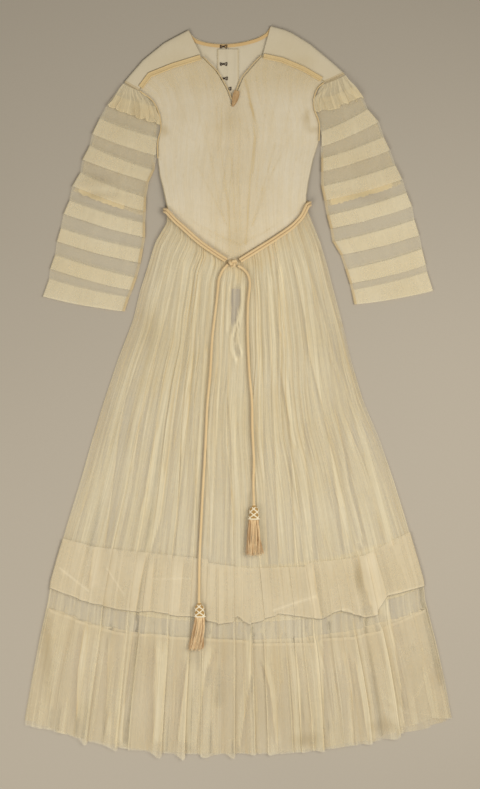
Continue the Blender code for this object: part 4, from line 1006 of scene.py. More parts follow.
# The main laps seen on the front: the edge's line in the photograph, width, side, strength
LAPS = [
    (((164, 277), (150, 327), (136.5, 365), (126, 398), (119, 434), (116, 460), (105, 548)),
     19, -1, 0.55),
    (((177, 264), (167, 312), (156, 354), (148, 392), (140, 421), (131, 488), (116, 551)),
     14, -1, 0.5),
    (((184, 258), (179, 300), (173, 342), (164, 379), (159, 411), (146, 488), (133, 551)),
     10, 1, 0.45),
    (((194, 258), (190, 306), (184, 344), (179, 383), (173, 421), (161, 518), (150, 554)),
     12, -1, 0.45),
    (((202, 268), (194, 344), (188, 421), (177, 518), (172, 556)), 9, -1, 0.5),
    (((211, 274), (205, 342), (198, 450), (194, 518), (190, 557)), 8, 1, 0.4),
    (((226, 277), (223, 335), (219, 392), (216, 450), (211, 557)), 8, -1, 0.5),
    (((230, 330), (228, 392), (232, 450), (230, 560)), 9, 1, 0.4),
    (((259, 277), (261, 335), (263, 392), (263, 450), (268, 564)), 8, -1, 0.4),
    (((267, 270), (272, 373), (279, 564)), 9, 1, 0.45),
    (((278, 260), (279, 309), (280, 368), (290, 424), (292, 467), (295, 564)), 10, 1, 0.5),
    (((292, 256), (298, 285), (305, 319), (309, 353), (325, 418), (333, 467), (345, 552)),
     12, 1, 0.5),
    (((305, 256), (317, 295), (325, 323), (333, 353), (345, 384), (354, 450)), 9, -1, 0.45),
    (((317, 246), (325, 279), (339, 329), (349, 368), (369, 451), (381, 493), (393, 545)),
     13, -1, 0.55),
    (((335, 408), (343, 447), (349, 487), (363, 538), (357, 551)), 10, -1, 0.5),
    (((303, 420), (306, 470), (311, 520), (312.6, 561)), 14, -1, 0.5),
    (((312.6, 561), (316, 589), (322, 620), (322.6, 673), (324, 750)), 16, -1, 0.6),
    (((147, 552), (141, 580), (136, 610), (133, 630), (125.6, 688), (122, 742)), 16, -1, 0.5),
    (((95, 543), (89, 587)), 20, 1, 0.4), (((154.7, 555), (150, 610)), 12, -1, 0.35),
    (((184, 557), (179, 612)), 22, -1, 0.35), (((219, 562), (219, 640)), 10, 1, 0.3),
    (((357, 550), (363, 581), (374, 615)), 26, 1, 0.5),
    (((372, 543), (383, 581), (389, 609), (395, 650), (400, 681), (404, 727)), 22, -1, 0.5),
    (((85, 624), (78, 670), (76.6, 719)), 16, 1, 0.5),
    (((109, 630), (108, 667), (106, 734)), 12, 1, 0.35),
    (((155.5, 639), (154.7, 688), (153, 742)), 24, 1, 0.5),
    (((188, 658), (182, 704), (178, 742)), 20, 1, 0.5),
    (((217, 642), (205, 673), (196, 745)), 14, -1, 0.4),
    (((251, 627), (251, 673), (240, 745)), 12, -1, 0.5),
    (((260.6, 655), (270, 688), (276, 745)), 10, 1, 0.4),
    (((296, 650), (300, 688), (301, 745)), 12, -1, 0.4),
    (((346, 650), (352, 688), (353, 745)), 9, -1, 0.4),
    (((355, 658), (360, 688), (368, 740)), 16, 1, 0.4),
]

# Thin sharp creases: points, half width, strength
BRIGHT_CREASES = [
    (spots((385, 697), (406, 713), (420, 688), (432, 663)), 2.4, 0.9),
    (spots((406, 713), (447, 716)), 2.2, 0.8),
    (spots((60, 568), (88, 590)), 2.2, 0.8), (spots((107, 568), (124, 594)), 1.8, 0.5),
    (spots((153, 579), (190, 578)), 1.8, 0.5),
    (spots((274, 610), (291, 604), (316, 596)), 2.4, 0.9),
    (spots((389, 594), (424, 587)), 3.0, 0.9),
    (spots((336, 611), (347, 609), (354, 614)), 2.4, 0.7),
    (spots((385, 625), (398, 645), (408, 662)), 2.2, 0.6),
]


def laps(grid, creases=True):
    """Cloth that lies doubled beside the edge of each main lap, single on its other side."""
    x, y = grid[..., 0], grid[..., 1]
    front = grid[..., 2] > FRONT_FROM
    dense, edge = 0 * x, 0 * x
    for line, wide, side, amount in LAPS:
        points = np.array(spots(*line))[::-1]
        off = side * (x - np.interp(y, points[:, 1], points[:, 0]))
        inside = smooth((y - points[0, 1] + 6) / 12) * smooth((points[-1, 1] + 6 - y) / 30)
        doubled = smooth(off / 1.6 + 0.5) * (1 - smooth((off - 0.7 * wide) / (0.6 * wide)))
        single = smooth(0.5 - off / 1.6) * (1 - smooth((-off - 0.45 * wide) / (0.5 * wide)))
        dense = dense + amount * inside * (doubled - 0.8 * single)
        edge = np.maximum(edge, inside * amount * np.exp(-(off / 1.4) ** 2))
    for points, wide, amount in BRIGHT_CREASES if creases else []:
        dense = dense + amount * np.exp(-(from_line(x, y, points) / wide) ** 2)
    return np.clip(dense, -1, 1) * front, 0.8 * edge * front


def opening(grid):
    """The slit of the back, which shows through the front with its turned edges."""
    x, y = grid[..., 0], grid[..., 1]
    front = grid[..., 2] > FRONT_FROM
    total = 0 * x
    for points, wide, amount in OPENING:
        off = from_line(x, y, points)
        total = total + amount * (1 - smooth((off - 0.75 * wide) / (0.3 * wide)))
    return total * front


def skirt_layer(ts, back_count, out, settle, crease=1.0):
    """The closed rows of a layer of the skirt at the levels ts, and its fold coordinates."""
    rows, plans = [], []
    for n, t in enumerate(ts):
        front, s = skirt_line(t)
        back = skirt_back_line(t, back_count)
        settle(n, front, back)
        rows.append(closed_row(front, back, out, (0.75, 0.25, 0.8)))
        plans.append(tube_plan(s, back_count, t))
    return pressed(creased(np.array(rows), crease)), np.array(plans).transpose(1, 0, 2)


def make_skirt():
    """The skirt from the waist to the lower edge, with the slit of its back."""
    ts = np.concatenate([
        [0, 0.01, 0.02, 0.035, 0.05], np.linspace(0.07, 0.3, 16), np.linspace(0.32, 1, 34),
        np.linspace(1.05, 3, 24), np.linspace(3.05, 4, 26),
    ])
    grid, plan = skirt_layer(ts, 141, 1.6, lambda n, front, back: None)
    fine = np.interp(ts, [0, 0.3, 1, 4], [1.0, 0.8, 0.35, 0.1])[:, None]
    side = plan[0] / FOLD_UNITS
    near_edge = np.clip(1 - np.minimum(side, 1 - side) / 0.24, 0, 1) * (side <= 1)
    thin = np.interp(ts, [0, 0.3, 0.8, 1, 2, 3, 4], [0.1, -0.1, -0.35, -0.5, -0.7, -0.6, -0.6])
    thin = thin[:, None]
    thin = thin - 0.75 * smooth(near_edge) * (1 - smooth((ts - 0.65) / 0.35))[:, None]
    doubled, edge = laps(grid, False)
    marks = under_waist(grid, ts) + edge
    thin = thin + opening(grid) + doubled
    keep = np.ones((grid.shape[0] - 1, grid.shape[1]), bool)
    # The back has an opening below the waist, which shows through the front.
    front_count = STEPS_IN_FOLD * FOLDS + 1
    cx, cy = grid[:-1, :, 0], grid[:-1, :, 1]
    middle = np.interp(cy, [126, 150, 185, 208], [-10.5, -7.5, -4.5, -4.5])
    half = np.interp(cy, [126, 150, 185, 208], [1.5, 6.5, 10.5, 9.5])
    slit = (np.abs(cx - middle) < half) & (cy > 126) & (cy < 211)
    slit[:, :front_count + 3] = False
    keep &= ~slit
    obj = cloth_piece("gown_skirt", grid, SHEER, True, keep, marks, valley_shade=0.6, dense=thin, plan=plan,
                      fine=fine)
    placed(obj, ["skirt"])


def make_tuck():
    """A fold of the cloth that lies on the skirt, down to its free edge."""
    face = 40
    steps = [(w, np.interp(w, [0, 0.75, 1], [1.5, 1.1, 0.4])) for w in np.linspace(0, 1, face)]
    steps += [(0.996, 0.3)]
    steps += [(w, np.interp(w, [0.7, 0.96], [0.8, 0.15])) for w in np.linspace(0.96, 0.03, 9)]
    ws, ups = np.array(steps).T

    def settle(n, front, back):
        front[:, 2] += ups[n]
        front[:, 1] += 0.0 if n < face else 1.0
        back[:, 2] = np.minimum(back[:, 2] - 1.5 + (0.36 if n > face else 0.0), 1.05)

    grid, plan = skirt_layer(1 + ws, 101, 2.8, settle, 0.8)
    rim = np.where(ws > 0.985, 0.6, 0.0)[:, None]
    doubled, edge = laps(grid)
    obj = cloth_piece("gown_tuck", grid, SHEER_BAND, True, marks=edge, valley_shade=0.25,
                      dense=rim + doubled, plan=plan, fine=0.1)
    placed(obj, ["skirt_tuck"])


def make_hem():
    """The hem, turned up inside the skirt."""
    ws = np.linspace(0, 1, 66)
    squeeze = 1 - 3.2 / 400

    def settle(n, front, back):
        front[:, 2] -= 1.6
        front[:, 1] += 1.2 * (2 * ws[n] - 1)
        back[:, 2] += 1.4
        front[:, 0] *= squeeze
        back[:, 0] *= squeeze

    grid, plan = skirt_layer(3 + ws, 141, 0.6, settle)
    rim = np.interp(np.arange(66), [0, 1, 2, 16, 34, 65], [1.0, 0.9, 0.4, 0.25, -0.05, -0.1])
    doubled, edge = laps(grid)
    obj = cloth_piece("gown_hem", grid, SHEER_HEM, True, marks=edge, valley_shade=0.2,
                      dense=rim[:, None] + 0.5 * doubled, plan=plan, fine=0.1)
    placed(obj, ["skirt_hem"])


# The bodice

BODICE_FOLDS = 16


def bodice_top(u):
    """The upper edge of the front: left seam, down and up the V, right seam."""
    left = along(SEAM_LEFT + V_LEFT[1:], u / WAIST_SPLIT)
    right = along(V_RIGHT + SEAM_RIGHT[1:], (u - WAIST_SPLIT) / (1 - WAIST_SPLIT))
    return np.where((u <= WAIST_SPLIT)[..., None], left, right)


def bodice_plane(us, vs, inset):
    """The places of the bodice front: a patch between its four edges."""
    u, v = np.meshgrid(us, vs)
    top, low = bodice_top(us), waist_front(us)
    left, right = along(SIDE_LEFT, vs), along(SIDE_RIGHT, vs)
    u1, v1 = u[..., None], v[..., None]
    corners = (top[0] * (1 - u1) * (1 - v1) + top[-1] * u1 * (1 - v1)
               + low[0] * (1 - u1) * v1 + low[-1] * u1 * v1)
    p = (top[None] * (1 - v1) + low[None] * v1 + left[:, None] * (1 - u1)
         + right[:, None] * u1 - corners)
    p[..., 0] += inset * (1 - 2 * u)
    p[..., 1] += -inset * (1 - v) + inset * v
    return u, v, p


# Gathers and creases of the overlay: points, width, height, how much the cloth is packed there
GATHER_LINES = [
    (spots((173, 210), (200, 226), (223.5, 238), (240, 245)), 2.4, -0.7, 0.5),
    (spots((240, 245), (265, 232), (305, 205)), 2.4, -0.7, 0.4),
    (spots((176, 214), (200, 231), (225, 243)), 1.6, 0.5, 0.3),
    (spots((245, 80), (253, 113), (254.8, 139), (250.5, 177), (247, 225), (246, 244)), 2.6, -1.0, 0.85),
    (spots((250, 104), (257, 127), (253, 173)), 2.2, -0.7, 0.6),
    (spots((248, 100), (250, 140), (246, 180), (243, 235)), 3.2, 0.9, 0.0),
    (spots((222, 104), (220.5, 148), (228, 204), (230, 236)), 2.6, -0.9, 0.55),
    (spots((217, 104), (218, 153), (224, 191)), 2.4, -0.7, 0.4),
    (spots((198, 167), (215, 201), (227, 225)), 2.6, -0.6, 0.45),
    (spots((170, 122), (181, 132), (194.5, 141)), 2.0, -0.6, 0.45),
    (spots((301, 117), (284, 148), (269, 180), (253, 225)), 2.6, -0.7, 0.5),
    (spots((275, 144), (265, 182), (252, 226)), 2.4, -0.7, 0.5),
    (spots((266, 100), (262, 150), (256, 190)), 2.4, -0.6, 0.45),
    (spots((205, 120), (212, 165), (222, 215)), 2.4, -0.5, 0.35),
    (spots((230, 118), (232, 170), (236, 232)), 2.2, -0.6, 0.4),
    (spots((240, 120), (238, 170), (240, 230)), 2.2, -0.5, 0.35),
    (spots((236, 112), (234, 160), (236, 200)), 3.4, 0.8, 0.0),
    (spots((280, 75), (272, 120), (262, 170)), 2.8, -0.5, 0.35),
    (spots((292, 80), (288, 120), (276, 160)), 2.8, -0.5, 0.3),
    (spots((190, 75), (200, 120), (212, 160)), 2.8, -0.5, 0.3),
    (spots((172, 80), (182, 110), (198, 150)), 2.8, -0.5, 0.25),
    (spots((289, 191), (290, 192)), 1.6, 0.0, 0.9),
]
# Where the overlay lies smooth
SMOOTH_SIDES = [spots((176, 120), (182, 170), (188, 215)), spots((298, 130), (294, 170), (284, 215))]
LINING_CREASES = [spots((205, 100), (214, 170), (226, 235)), spots((272, 100), (262, 170), (246, 235))]


def make_bodice():
    """The sheer overlay, gathered to the point of the waist."""
    us, vs = np.linspace(0, 1, BODICE_FOLDS * 20 + 1), np.linspace(0, 1, 91)
    u, v, p = bodice_plane(us, vs, -0.5)
    x, y = p[..., 0], p[..., 1]
    k = np.clip(np.floor(u * BODICE_FOLDS), 0, BODICE_FOLDS - 1)
    middle = 1 - np.abs((k + 0.5) / BODICE_FOLDS - 0.48) * 2
    strength = 0.5 + 1.5 * smooth(middle * 1.3)
    uneven = np.array([1.0, 0.6, 0.85, 0.5])[(k % 4).astype(int)]
    profile = lerp(0.3, 1.0, smooth(v / 0.4)) * lerp(1.0, 0.45, smooth((v - 0.6) / 0.4))
    large = strength * uneven * profile * np.sin(PI * (u * BODICE_FOLDS - k)) ** 2
    centre = np.exp(-((u - 0.47) / 0.17) ** 2)
    wander = 0.35 * noise(u * 40, v, 1.0, 0.4, 31)
    fine = lerp(np.sin(PI * (u * 64 + wander)) ** 2, 0.5 + 0.5 * noise(u * 90, v, 1.0, 0.3, 33), 0.65)
    ends = 0.35 + 0.65 * np.maximum(1 - smooth(v / 0.35), smooth((v - 0.55) / 0.45))
    small = 0.9 * fine * (0.25 + 0.75 * centre) * ends * (0.7 + 0.5 * noise(u * 64, v, 2, 0.3, 8))
    z = OVER_TOP + rise(x, y) - 0.1 + 0.75 * large + small + 0.3 * noise(x, y, 26, 40, 12)
    z = np.where((v < 0.02) | (v > 0.985), np.minimum(z, OVER_TOP + 0.9 + rise(x, y)), z)
    grid = np.stack([x, y, z], -1)
    marks = 0.08 * centre * fine + 0.12 * centre + 0.06 * fine * ends
    for points, wide, high, mark in GATHER_LINES:
        faded = 0.65 + 0.35 * noise(x, y, 12, 40, 19)
        off = np.exp(-(from_line(x, y, points) / (0.8 * wide)) ** 2)
        grid[..., 2] += high * off
        marks = marks + 0.55 * mark * off * faded
    sides = np.exp(-(from_line(x, y, SMOOTH_SIDES[0]) / 26) ** 2)
    sides = sides + np.exp(-(from_line(x, y, SMOOTH_SIDES[1]) / 26) ** 2)
    yoke = smooth((y - 560) / 60) * 0.25
    marks = np.clip(marks * (1 - 0.8 * np.clip(sides, 0, 1)) + yoke, 0, 1)
    grid[..., 2] -= 0.7 * small * np.clip(sides, 0, 1)
    grid = pressed(grid)
    obj = cloth_piece("gown_bodice", grid, SHEER_OVER, marks=marks, reach=3, valley_shade=0.5,
                      plan=(64.0, 1.6), fine=0.25 + 0.75 * centre)
    placed(obj, ["bodice_front"])


def make_lining():
    """The plain lining under the overlay."""
    us, vs = np.linspace(0, 1, 81), np.linspace(0, 1, 41)
    p = bodice_plane(us, vs, 1.2)[2]
    x, y = p[..., 0], p[..., 1]
    z = LINING_TOP + rise(x, y) - 0.25 + 0.22 * noise(x, y, 18, 40, 3)
    for points in LINING_CREASES:
        z = z - 0.45 * np.exp(-(from_line(x, y, points) / 3.0) ** 2)
    obj = cloth_piece("gown_lining", np.stack([x, y, z], -1), LINING)
    placed(obj, ["bodice_lining"])


def make_back(tag, neck_xs, fold, seam_line, side, waist_ends):
    """A back of the bodice, from the waist up and over the shoulder to the seam in front."""
    flip = tag == "r"
    wrap = [(along(fold, q), along(seam_line, q)) for q in np.linspace(0, 1, 13)]
    neck = [(np.array([x, float(table(NECK_BACK, x))]), None) for x in neck_xs]
    columns = wrap + neck if not flip else neck + wrap
    count = len(columns)
    side_a, side_b = np.array(side[0]), np.array(side[-1])
    vs = np.concatenate([[0, 0.015, 0.03, 0.045, 0.07, 0.1], np.linspace(0.13, 0.97, 34), [1.0]])
    rows = np.zeros((len(vs) + 10, count, 3))
    wrapped = np.zeros(count, bool)
    for c, (upper, seam) in enumerate(columns):
        share = c / (count - 1)
        x = lerp(waist_ends[0], waist_ends[1], share)
        low = np.array([x, float(table(WAIST_BACK, x)) + 0.5])
        from_side = share if not flip else 1 - share
        edge = along(side, vs) - (side_a + (side_b - side_a) * vs[:, None])
        line = low + (upper - low) * vs[:, None] + edge * max(0.0, 1 - 1.6 * from_side) ** 2
        gather = 0.35 * (1 + np.sin(share * 46 + 3 * vs)) * (1 - smooth(vs * 1.6))
        rows[:len(vs), c, :2] = line
        rows[:len(vs), c, 2] = 0.25 + base(line[:, 0], line[:, 1]) + np.clip(gather, 0, 0.8)
        if seam is None:
            rows[len(vs):, c] = rows[len(vs) - 1, c]
            continue
        wrapped[c] = True
        length = math.dist(seam, upper)
        way = (seam - upper) / max(length, 1e-6)
        rows[len(vs) - 1, c, :2] = upper + way * 2.4
        rows[len(vs) - 1, c, 2] = 0.3
        steps = [(1.0, 1.0), (0.15, 2.3), (1.0, 3.9), (3.4, 4.7)]
        for n, (along_way, z) in enumerate(steps):
            rows[len(vs) + n, c] = (*(upper + way * along_way), z)
        for n, part in enumerate(np.linspace(0.18, 1, 6)):
            px, py = lerp(upper, seam, part)
            z = lerp(4.8, 5.2, part) + 0.35 * noise(px, py, 14, 14, 9)
            rows[len(vs) + 4 + n, c] = (px, py, z)
    keep = np.ones((rows.shape[0] - 1, count - 1), bool)
    keep[len(vs) - 1:, :] = (wrapped[:-1] & wrapped[1:])[None]
    over_shoulder = 0.14 * (np.arange(rows.shape[0]) >= len(vs) - 1)[:, None]
    obj = cloth_piece("gown_back_" + tag, rows, BACKING, keep=keep, stain=over_shoulder)
    placed(obj, ["bodice_back_" + tag])


def make_backs():
    side = [(-136.4, 352.9), (-141, 370), (-147, 399), (-153, 422), (-156.4, 453), (-156.4, 488),
            (-150.4, 514), (-153.4, 541), (-166.4, 567), (-194.5, 588), (-222, 605.5)]
    make_back("l", [-93, -84, -72, -60, -46, -34, -20.3],
              FOLD_LEFT, SEAM_LEFT, side, (-136.4, -20.3))
    side = [(131.4, 366.6), (131.4, 383), (135.4, 410), (144.4, 453), (155.4, 488), (156.4, 524),
            (147.4, 551), (146.4, 573), (153.4, 592), (168.5, 605), (205.5, 622.5)]
    make_back("r", [-19.7, -5, 8, 22, 34, 46, 56],
              FOLD_RIGHT, SEAM_RIGHT, side, (-19.7, 131.4))


# Tapes, bands, pipings, placket and hooks

def ribbon(line, shares, heights, width, side=0.0):
    """Rows of a strip along a line; shares and heights give its section."""
    line = np.asarray(line, float)
    way = np.gradient(line[:, :2], axis=0)
    way /= np.linalg.norm(way, axis=1)[:, None]
    normal = np.stack([-way[:, 1], way[:, 0]], -1)
    rows = []
    for share, height in zip(shares, heights):
        off = share * width + side
        rows.append(np.concatenate([line[:, :2] + normal * off, np.full((len(line), 1), height)], 1))
    return np.array(rows).transpose(1, 0, 2)


def wobble(grid, amount, seed):
    """Makes a strip's height a little uneven."""
    grid[..., 2] += amount * noise(grid[..., 0], grid[..., 1], 9, 9, seed)
    return grid


def make_bands():
    """The shoulder seams: a flat band between two rounded pipings."""
    shares = np.array([-0.5, -0.49, -0.46, -0.41, -0.35, -0.29, -0.24, -0.2, -0.1, 0.0, 0.1, 0.2,
                       0.24, 0.29, 0.35, 0.41, 0.46, 0.49, 0.5])
    bulge = np.array([-1.2, -0.3, 0.5, 1.0, 1.3, 1.1, 0.75, 0.55, 0.65, 0.7, 0.65, 0.55, 0.75, 1.1,
                      1.3, 1.0, 0.5, -0.3, -1.2])
    for tag, seam, a, b in (("l", SEAM_LEFT, 0.05, 0.985), ("r", SEAM_RIGHT, 0.015, 0.94)):
        line = along(seam, np.linspace(a, b, 90))
        grid = ribbon(line, shares, OVER_TOP + 1.1 + bulge, 10.5)
        ridge = (np.abs(np.abs(shares) - 0.35) < 0.1)[None, :]
        grid[..., 2] += np.where(ridge, 0.12 * np.sin(np.arange(90) * 1.9)[:, None], 0)
        obj = cloth_piece("seam_band_" + tag, wobble(grid, 0.15, 4), PIPED)
        placed(obj, ["shoulder_band_" + tag])


def make_pipings():
    """The piping of the armholes and of the front neck."""
    left = [(-192, 587), (-167.3, 568), (-154.3, 541), (-151.3, 514), (-157.3, 488), (-157.3, 456)]
    right = [(166, 603.5), (154, 592), (147.3, 573), (148.3, 551), (157.3, 524), (156.8, 490)]
    z = OVER_TOP + 1.8
    for tag, route in (("l", left), ("r", right)):
        line = spaced([(x, y, z) for x, y in route], 1.0)
        obj = rope("armhole_cord_" + tag, line, 1.3, PIPED, 5.0, 2, 8, 0.12)
        placed(obj, ["armhole_piping_" + tag])

    out = 2.4
    vee = [(-68.3, 653.7), (-60 + out, 642.5), (-46 + out, 628.5), (-35 + out, 612.5),
           (-22 + out, 588), (-12.6, 572), (2 - out, 599), (10 - out, 616), (20 - out, 628),
           (34 - out, 644), (44.2, 656.4)]
    line = through([(x, y, 5.2) for x, y in vee], 1.0)
    obj = rope("neck_edge", line, 1.0, PIPED, 4.0, 2, 8, 0.12)
    placed(obj, ["neck_piping"])


def make_tapes():
    """The tape round the back of the neck, the placket and the tape's folded end in the V."""
    tape = [(-97, 706.5), (-91, 695.5), (-84, 690), (-77, 686), (-56, 681), (-29, 679), (3, 682),
            (34, 690), (52, 699.5), (57.5, 706), (62, 713.5)]
    line = spaced([(x, y, 0.0) for x, y in tape], 1.5)
    shares = np.concatenate([np.linspace(-0.5, 0.5, 9), np.linspace(0.48, -0.48, 7)])
    heights = 2.1 + 0.3 * np.cos(PI * shares) + np.where(np.abs(shares) > 0.36, 0.12, 0)
    heights[9:] -= 0.5
    obj = cloth_piece("neck_binding", wobble(ribbon(line, shares, heights, 6.5, -3.5), 0.1, 6), TAPE)
    placed(obj, ["neck_tape"])

    line = np.stack([np.full(120, -20.5), np.linspace(669, 411, 120)], -1)
    shares = np.array([-0.5, -0.47, -0.4, -0.33, -0.32, -0.2, -0.06, -0.04, 0.0, 0.04, 0.06, 0.2,
                       0.32, 0.33, 0.4, 0.47, 0.5])
    heights = np.array([1.6, 2.2, 2.35, 2.3, 2.05, 2.1, 2.1, 2.4, 2.4, 2.4, 2.05, 2.1, 2.1, 2.3,
                        2.35, 2.2, 1.6])
    grid = wobble(ribbon(line, shares, heights, 42), 0.12, 2)
    edge = 0.55 * (np.abs(np.abs(shares) - 0.46) < 0.045)[None, :]
    obj = cloth_piece("back_facing", grid, BACKING, stain=edge + 0.06)
    placed(obj, ["back_placket"])

    line = spaced([(-3, 588, 0), (-5, 578, 0), (-8, 566, 0), (-12, 557, 0)], 0.8)
    shares = np.linspace(-0.5, 0.5, 15)
    grid = ribbon(line, shares, 7.7 + 0.45 * np.cos(3 * PI * shares), 1.0)
    share = np.linspace(0, 1, len(grid))[:, None]
    wide = np.interp(share[:, 0], [0, 0.25, 0.6, 1], [9.5, 13.0, 11.0, 3.5])[:, None, None]
    middle = grid[:, 7:8, :2]
    grid[..., :2] = middle + (grid[..., :2] - middle) * wide
    grid[..., 2] += 0.5 * np.sin(share * 9 + 3 * shares[None]) * np.abs(shares)[None]
    obj = cloth_piece("tape_end", wobble(grid, 0.2, 7), TAB, marks=0.7 * (np.abs(shares) > 0.36)[None])
    placed(obj, ["neck_tab"])


def make_hooks():
    """Bent wire hooks in their eyes; the lowest shows its eye alone."""
    hook = [(-3.2, 0.6), (-5.2, 1.2), (-7.0, 3.0), (-8.4, 1.6), (-6.8, 0.1), (-8.2, -1.8), (-6.4, -3.2),
            (-4.0, -1.4), (-1.0, -1.0), (0.6, 0.2), (-1.0, 1.3), (-3.2, 0.6)]
    eye = [(0.2, -0.9), (2.6, -1.8), (4.6, -3.4), (6.6, -2.2), (5.4, -0.2), (6.8, 1.8), (5.0, 3.2),
           (2.6, 1.8), (0.2, 0.9)]
    for n, (x, y) in enumerate(HOOKS, 1):
        bend = eye if n == 4 else hook + eye
        line = spaced([(x + 0.9 * dx + 0.8, y + 0.9 * dy, 3.35) for dx, dy in bend], 0.4)
        obj = rope("hook_wire_%d" % n, line, 0.72, IRON, 90.0, 2, 8, 0.02)
        placed(obj, ["hook_%d" % n])


# The sleeves

# How far the rows of a sleeve bow down between its sides
SLEEVE_BOW = 12


def sleeve_path(rows):
    """The rows of a sleeve from cap to cuff, with every tuck folded as a pleat of three layers.

    Each row gives its ends, height, how far it stands out, place among the sleeve's rows, and
    whether it is a tuck.
    """
    path = []
    fixed = {"e_top": 5.4, "e_edge": 4.5, "f_top": 4.0}

    def height(row):
        return fixed.get(row[0], 5.6 if row[6] else 3.7)

    for n, (a, b) in enumerate(zip(rows, rows[1:])):
        def add(w, out, band, level_w=None):
            ends = [lerp(a[k], b[k], w) for k in (1, 2, 3, 4)]
            level_w = w if level_w is None else level_w
            path.append((ends, lerp(height(a), height(b), level_w), out, n + level_w, band))

        if b[5]:
            last = b[0] == "cuff_edge"
            for w in (0.0, 0.06, 0.2, 0.4, 0.6, 0.8, 0.94, 1.0):
                add(w, 0.55 + 0.5 * w, 1.0)
            add(1.0 if last else 1.01, 0.75, 1.0, 1.0)
            for w in (0.97, 0.7, 0.4, 0.1, 0.02):
                add(w, 0.3 + 0.2 * w, 1.0)
            if not last:
                for w in (0.05, 0.4, 0.8, 1.0):
                    add(w, 0.0, 1.0)
        else:
            for w in (0.0, 0.08, 0.16, 0.24, 0.4, 0.6, 0.8):
                add(w, 0.0, 0.0)
    return path


# Long creases and clear patches of the sleeves: points, width, how much denser
SLEEVE_MARKS = {
    "l": [
        (spots((130.5, 100), (128, 150), (129, 178), (137, 208)), 2.2, 0.5),
        (spots((118, 168), (108, 186)), 2.0, 0.3), (spots((126, 120), (121, 158)), 2.0, 0.25),
        (spots((143, 158), (153, 163)), 7.0, -0.5), (spots((134, 181), (144, 186)), 6.0, -0.35),
        (spots((88, 172), (108, 178)), 6.0, -0.3), (spots((84, 144), (110, 153)), 5.0, -0.25),
    ],
    "r": [
        (spots((352, 100), (356, 140), (352, 190)), 2.0, 0.35),
        (spots((372, 150), (385, 190)), 2.0, 0.3), (spots((345, 210), (352, 290)), 2.2, 0.2),
    ],
}


def sleeve_marks(grid, side):
    """Where the front of a sleeve is denser or clearer."""
    x, y = grid[..., 0], grid[..., 1]
    total = 0 * x
    for points, wide, amount in SLEEVE_MARKS[side]:
        total = total + amount * np.exp(-(from_line(x, y, points) / wide) ** 2)
    return total * (grid[..., 2] > 2.5)


def make_sleeve(side, rows):
    """A long sleeve: a flattened tube with folded tucks, open at the armhole."""
    flip = side == "r"
    path = sleeve_path(rows)
    seed = 40 if flip else 50
    front_n, back_n = 97, 41
    grid = []
    for (ox, oy, ix, iy), height, out, place, band in path:
        left, right = ((ix, iy), (ox, oy)) if flip else ((ox, oy), (ix, iy))
        s = np.linspace(0, 1, front_n)
        shade = 1 - s if flip else s
        under = 5.0 * (1 - smooth((place - 2.2) / 1.2))
        tuck_left, tuck_right = (under, 0.0) if flip else (0.0, under)
        x = lerp(left[0] + 2 - tuck_left, right[0] - 2 + tuck_right, s)
        y = lerp(left[1], right[1], s) - SLEEVE_BOW * s * (1 - s) * (1 if place > 0 else 0)
        puff = 0.3 * (1 + np.sin(3.1 * PI * shade + 0.9 * round(place)))
        puff = puff * smooth(s * 6) * smooth((1 - s) * 6)
        wrinkle = 0.22 * noise(x, y, 11, 40, seed) + 0.2 * noise(x, y, 26, 16, seed + 1)
        wrinkle = wrinkle + 0.2 * band * out * noise(x, y, 8, 26, seed + 2)
        y = y + 0.8 * band * out * noise(x, place * 9.0 + 0 * x, 30, 3, seed + 3)
        z = height + puff + wrinkle * smooth(s * 9) * smooth((1 - s) * 9) + out - 0.25
        front = np.stack([x, y, z], -1)
        s = np.linspace(1, 0, back_n)
        x = lerp(left[0] + 2, right[0] - 2, s)
        y = lerp(left[1], right[1], s) - SLEEVE_BOW * s * (1 - s) * (1 if place > 0 else 0)
        z = 0.15 + 0.55 * (1.05 - out) + 0.2 * (1 + noise(x, y, 9, 30, seed + 5))
        back = np.stack([x, y, z], -1)
        grid.append(closed_row(front, back, 1.5))
    grid = np.array(grid)
    count = grid.shape[1]
    keep = np.ones((grid.shape[0] - 1, count), bool)
    places = np.array([p[3] for p in path])
    open_rows = places[:-1] < [r[0] for r in rows].index("b_edge") - 0.02
    # The armhole stays open on the inner side.
    sides = (list(range(front_n - 1, front_n + 3)) if not flip
             else list(range(count - 3, count)) + [front_n + 2 + back_n])
    for column in sides:
        keep[open_rows, column % count] = False
    # The seam runs down the inner edge.
    seam_at = 0 if flip else front_n - 1
    off = np.abs(np.arange(count) - seam_at)
    off = np.minimum(off, count - off)[None]
    marks = 1.0 * (off < 3) * (places[:, None] > 4.4) + 0.9 * (places[:, None] < 0.17)
    bands = np.array([p[4] for p in path])[:, None]
    layers = lerp(-0.36, 0.22, bands) + 0.4 * sleeve_marks(grid, side)
    grid[..., 2] += 0.5 * (off < 3) * (grid[..., 2] > 2.5) * (places[:, None] > 4.4)
    obj = cloth_piece("gown_sleeve_" + side, grid, SHEER_SLEEVE, True, keep, marks, valley_shade=0.1,
                      dense=layers, plan=(14.0, 5.0), fine=0.1, packed=0.3)
    placed(obj, ["sleeve_" + side])


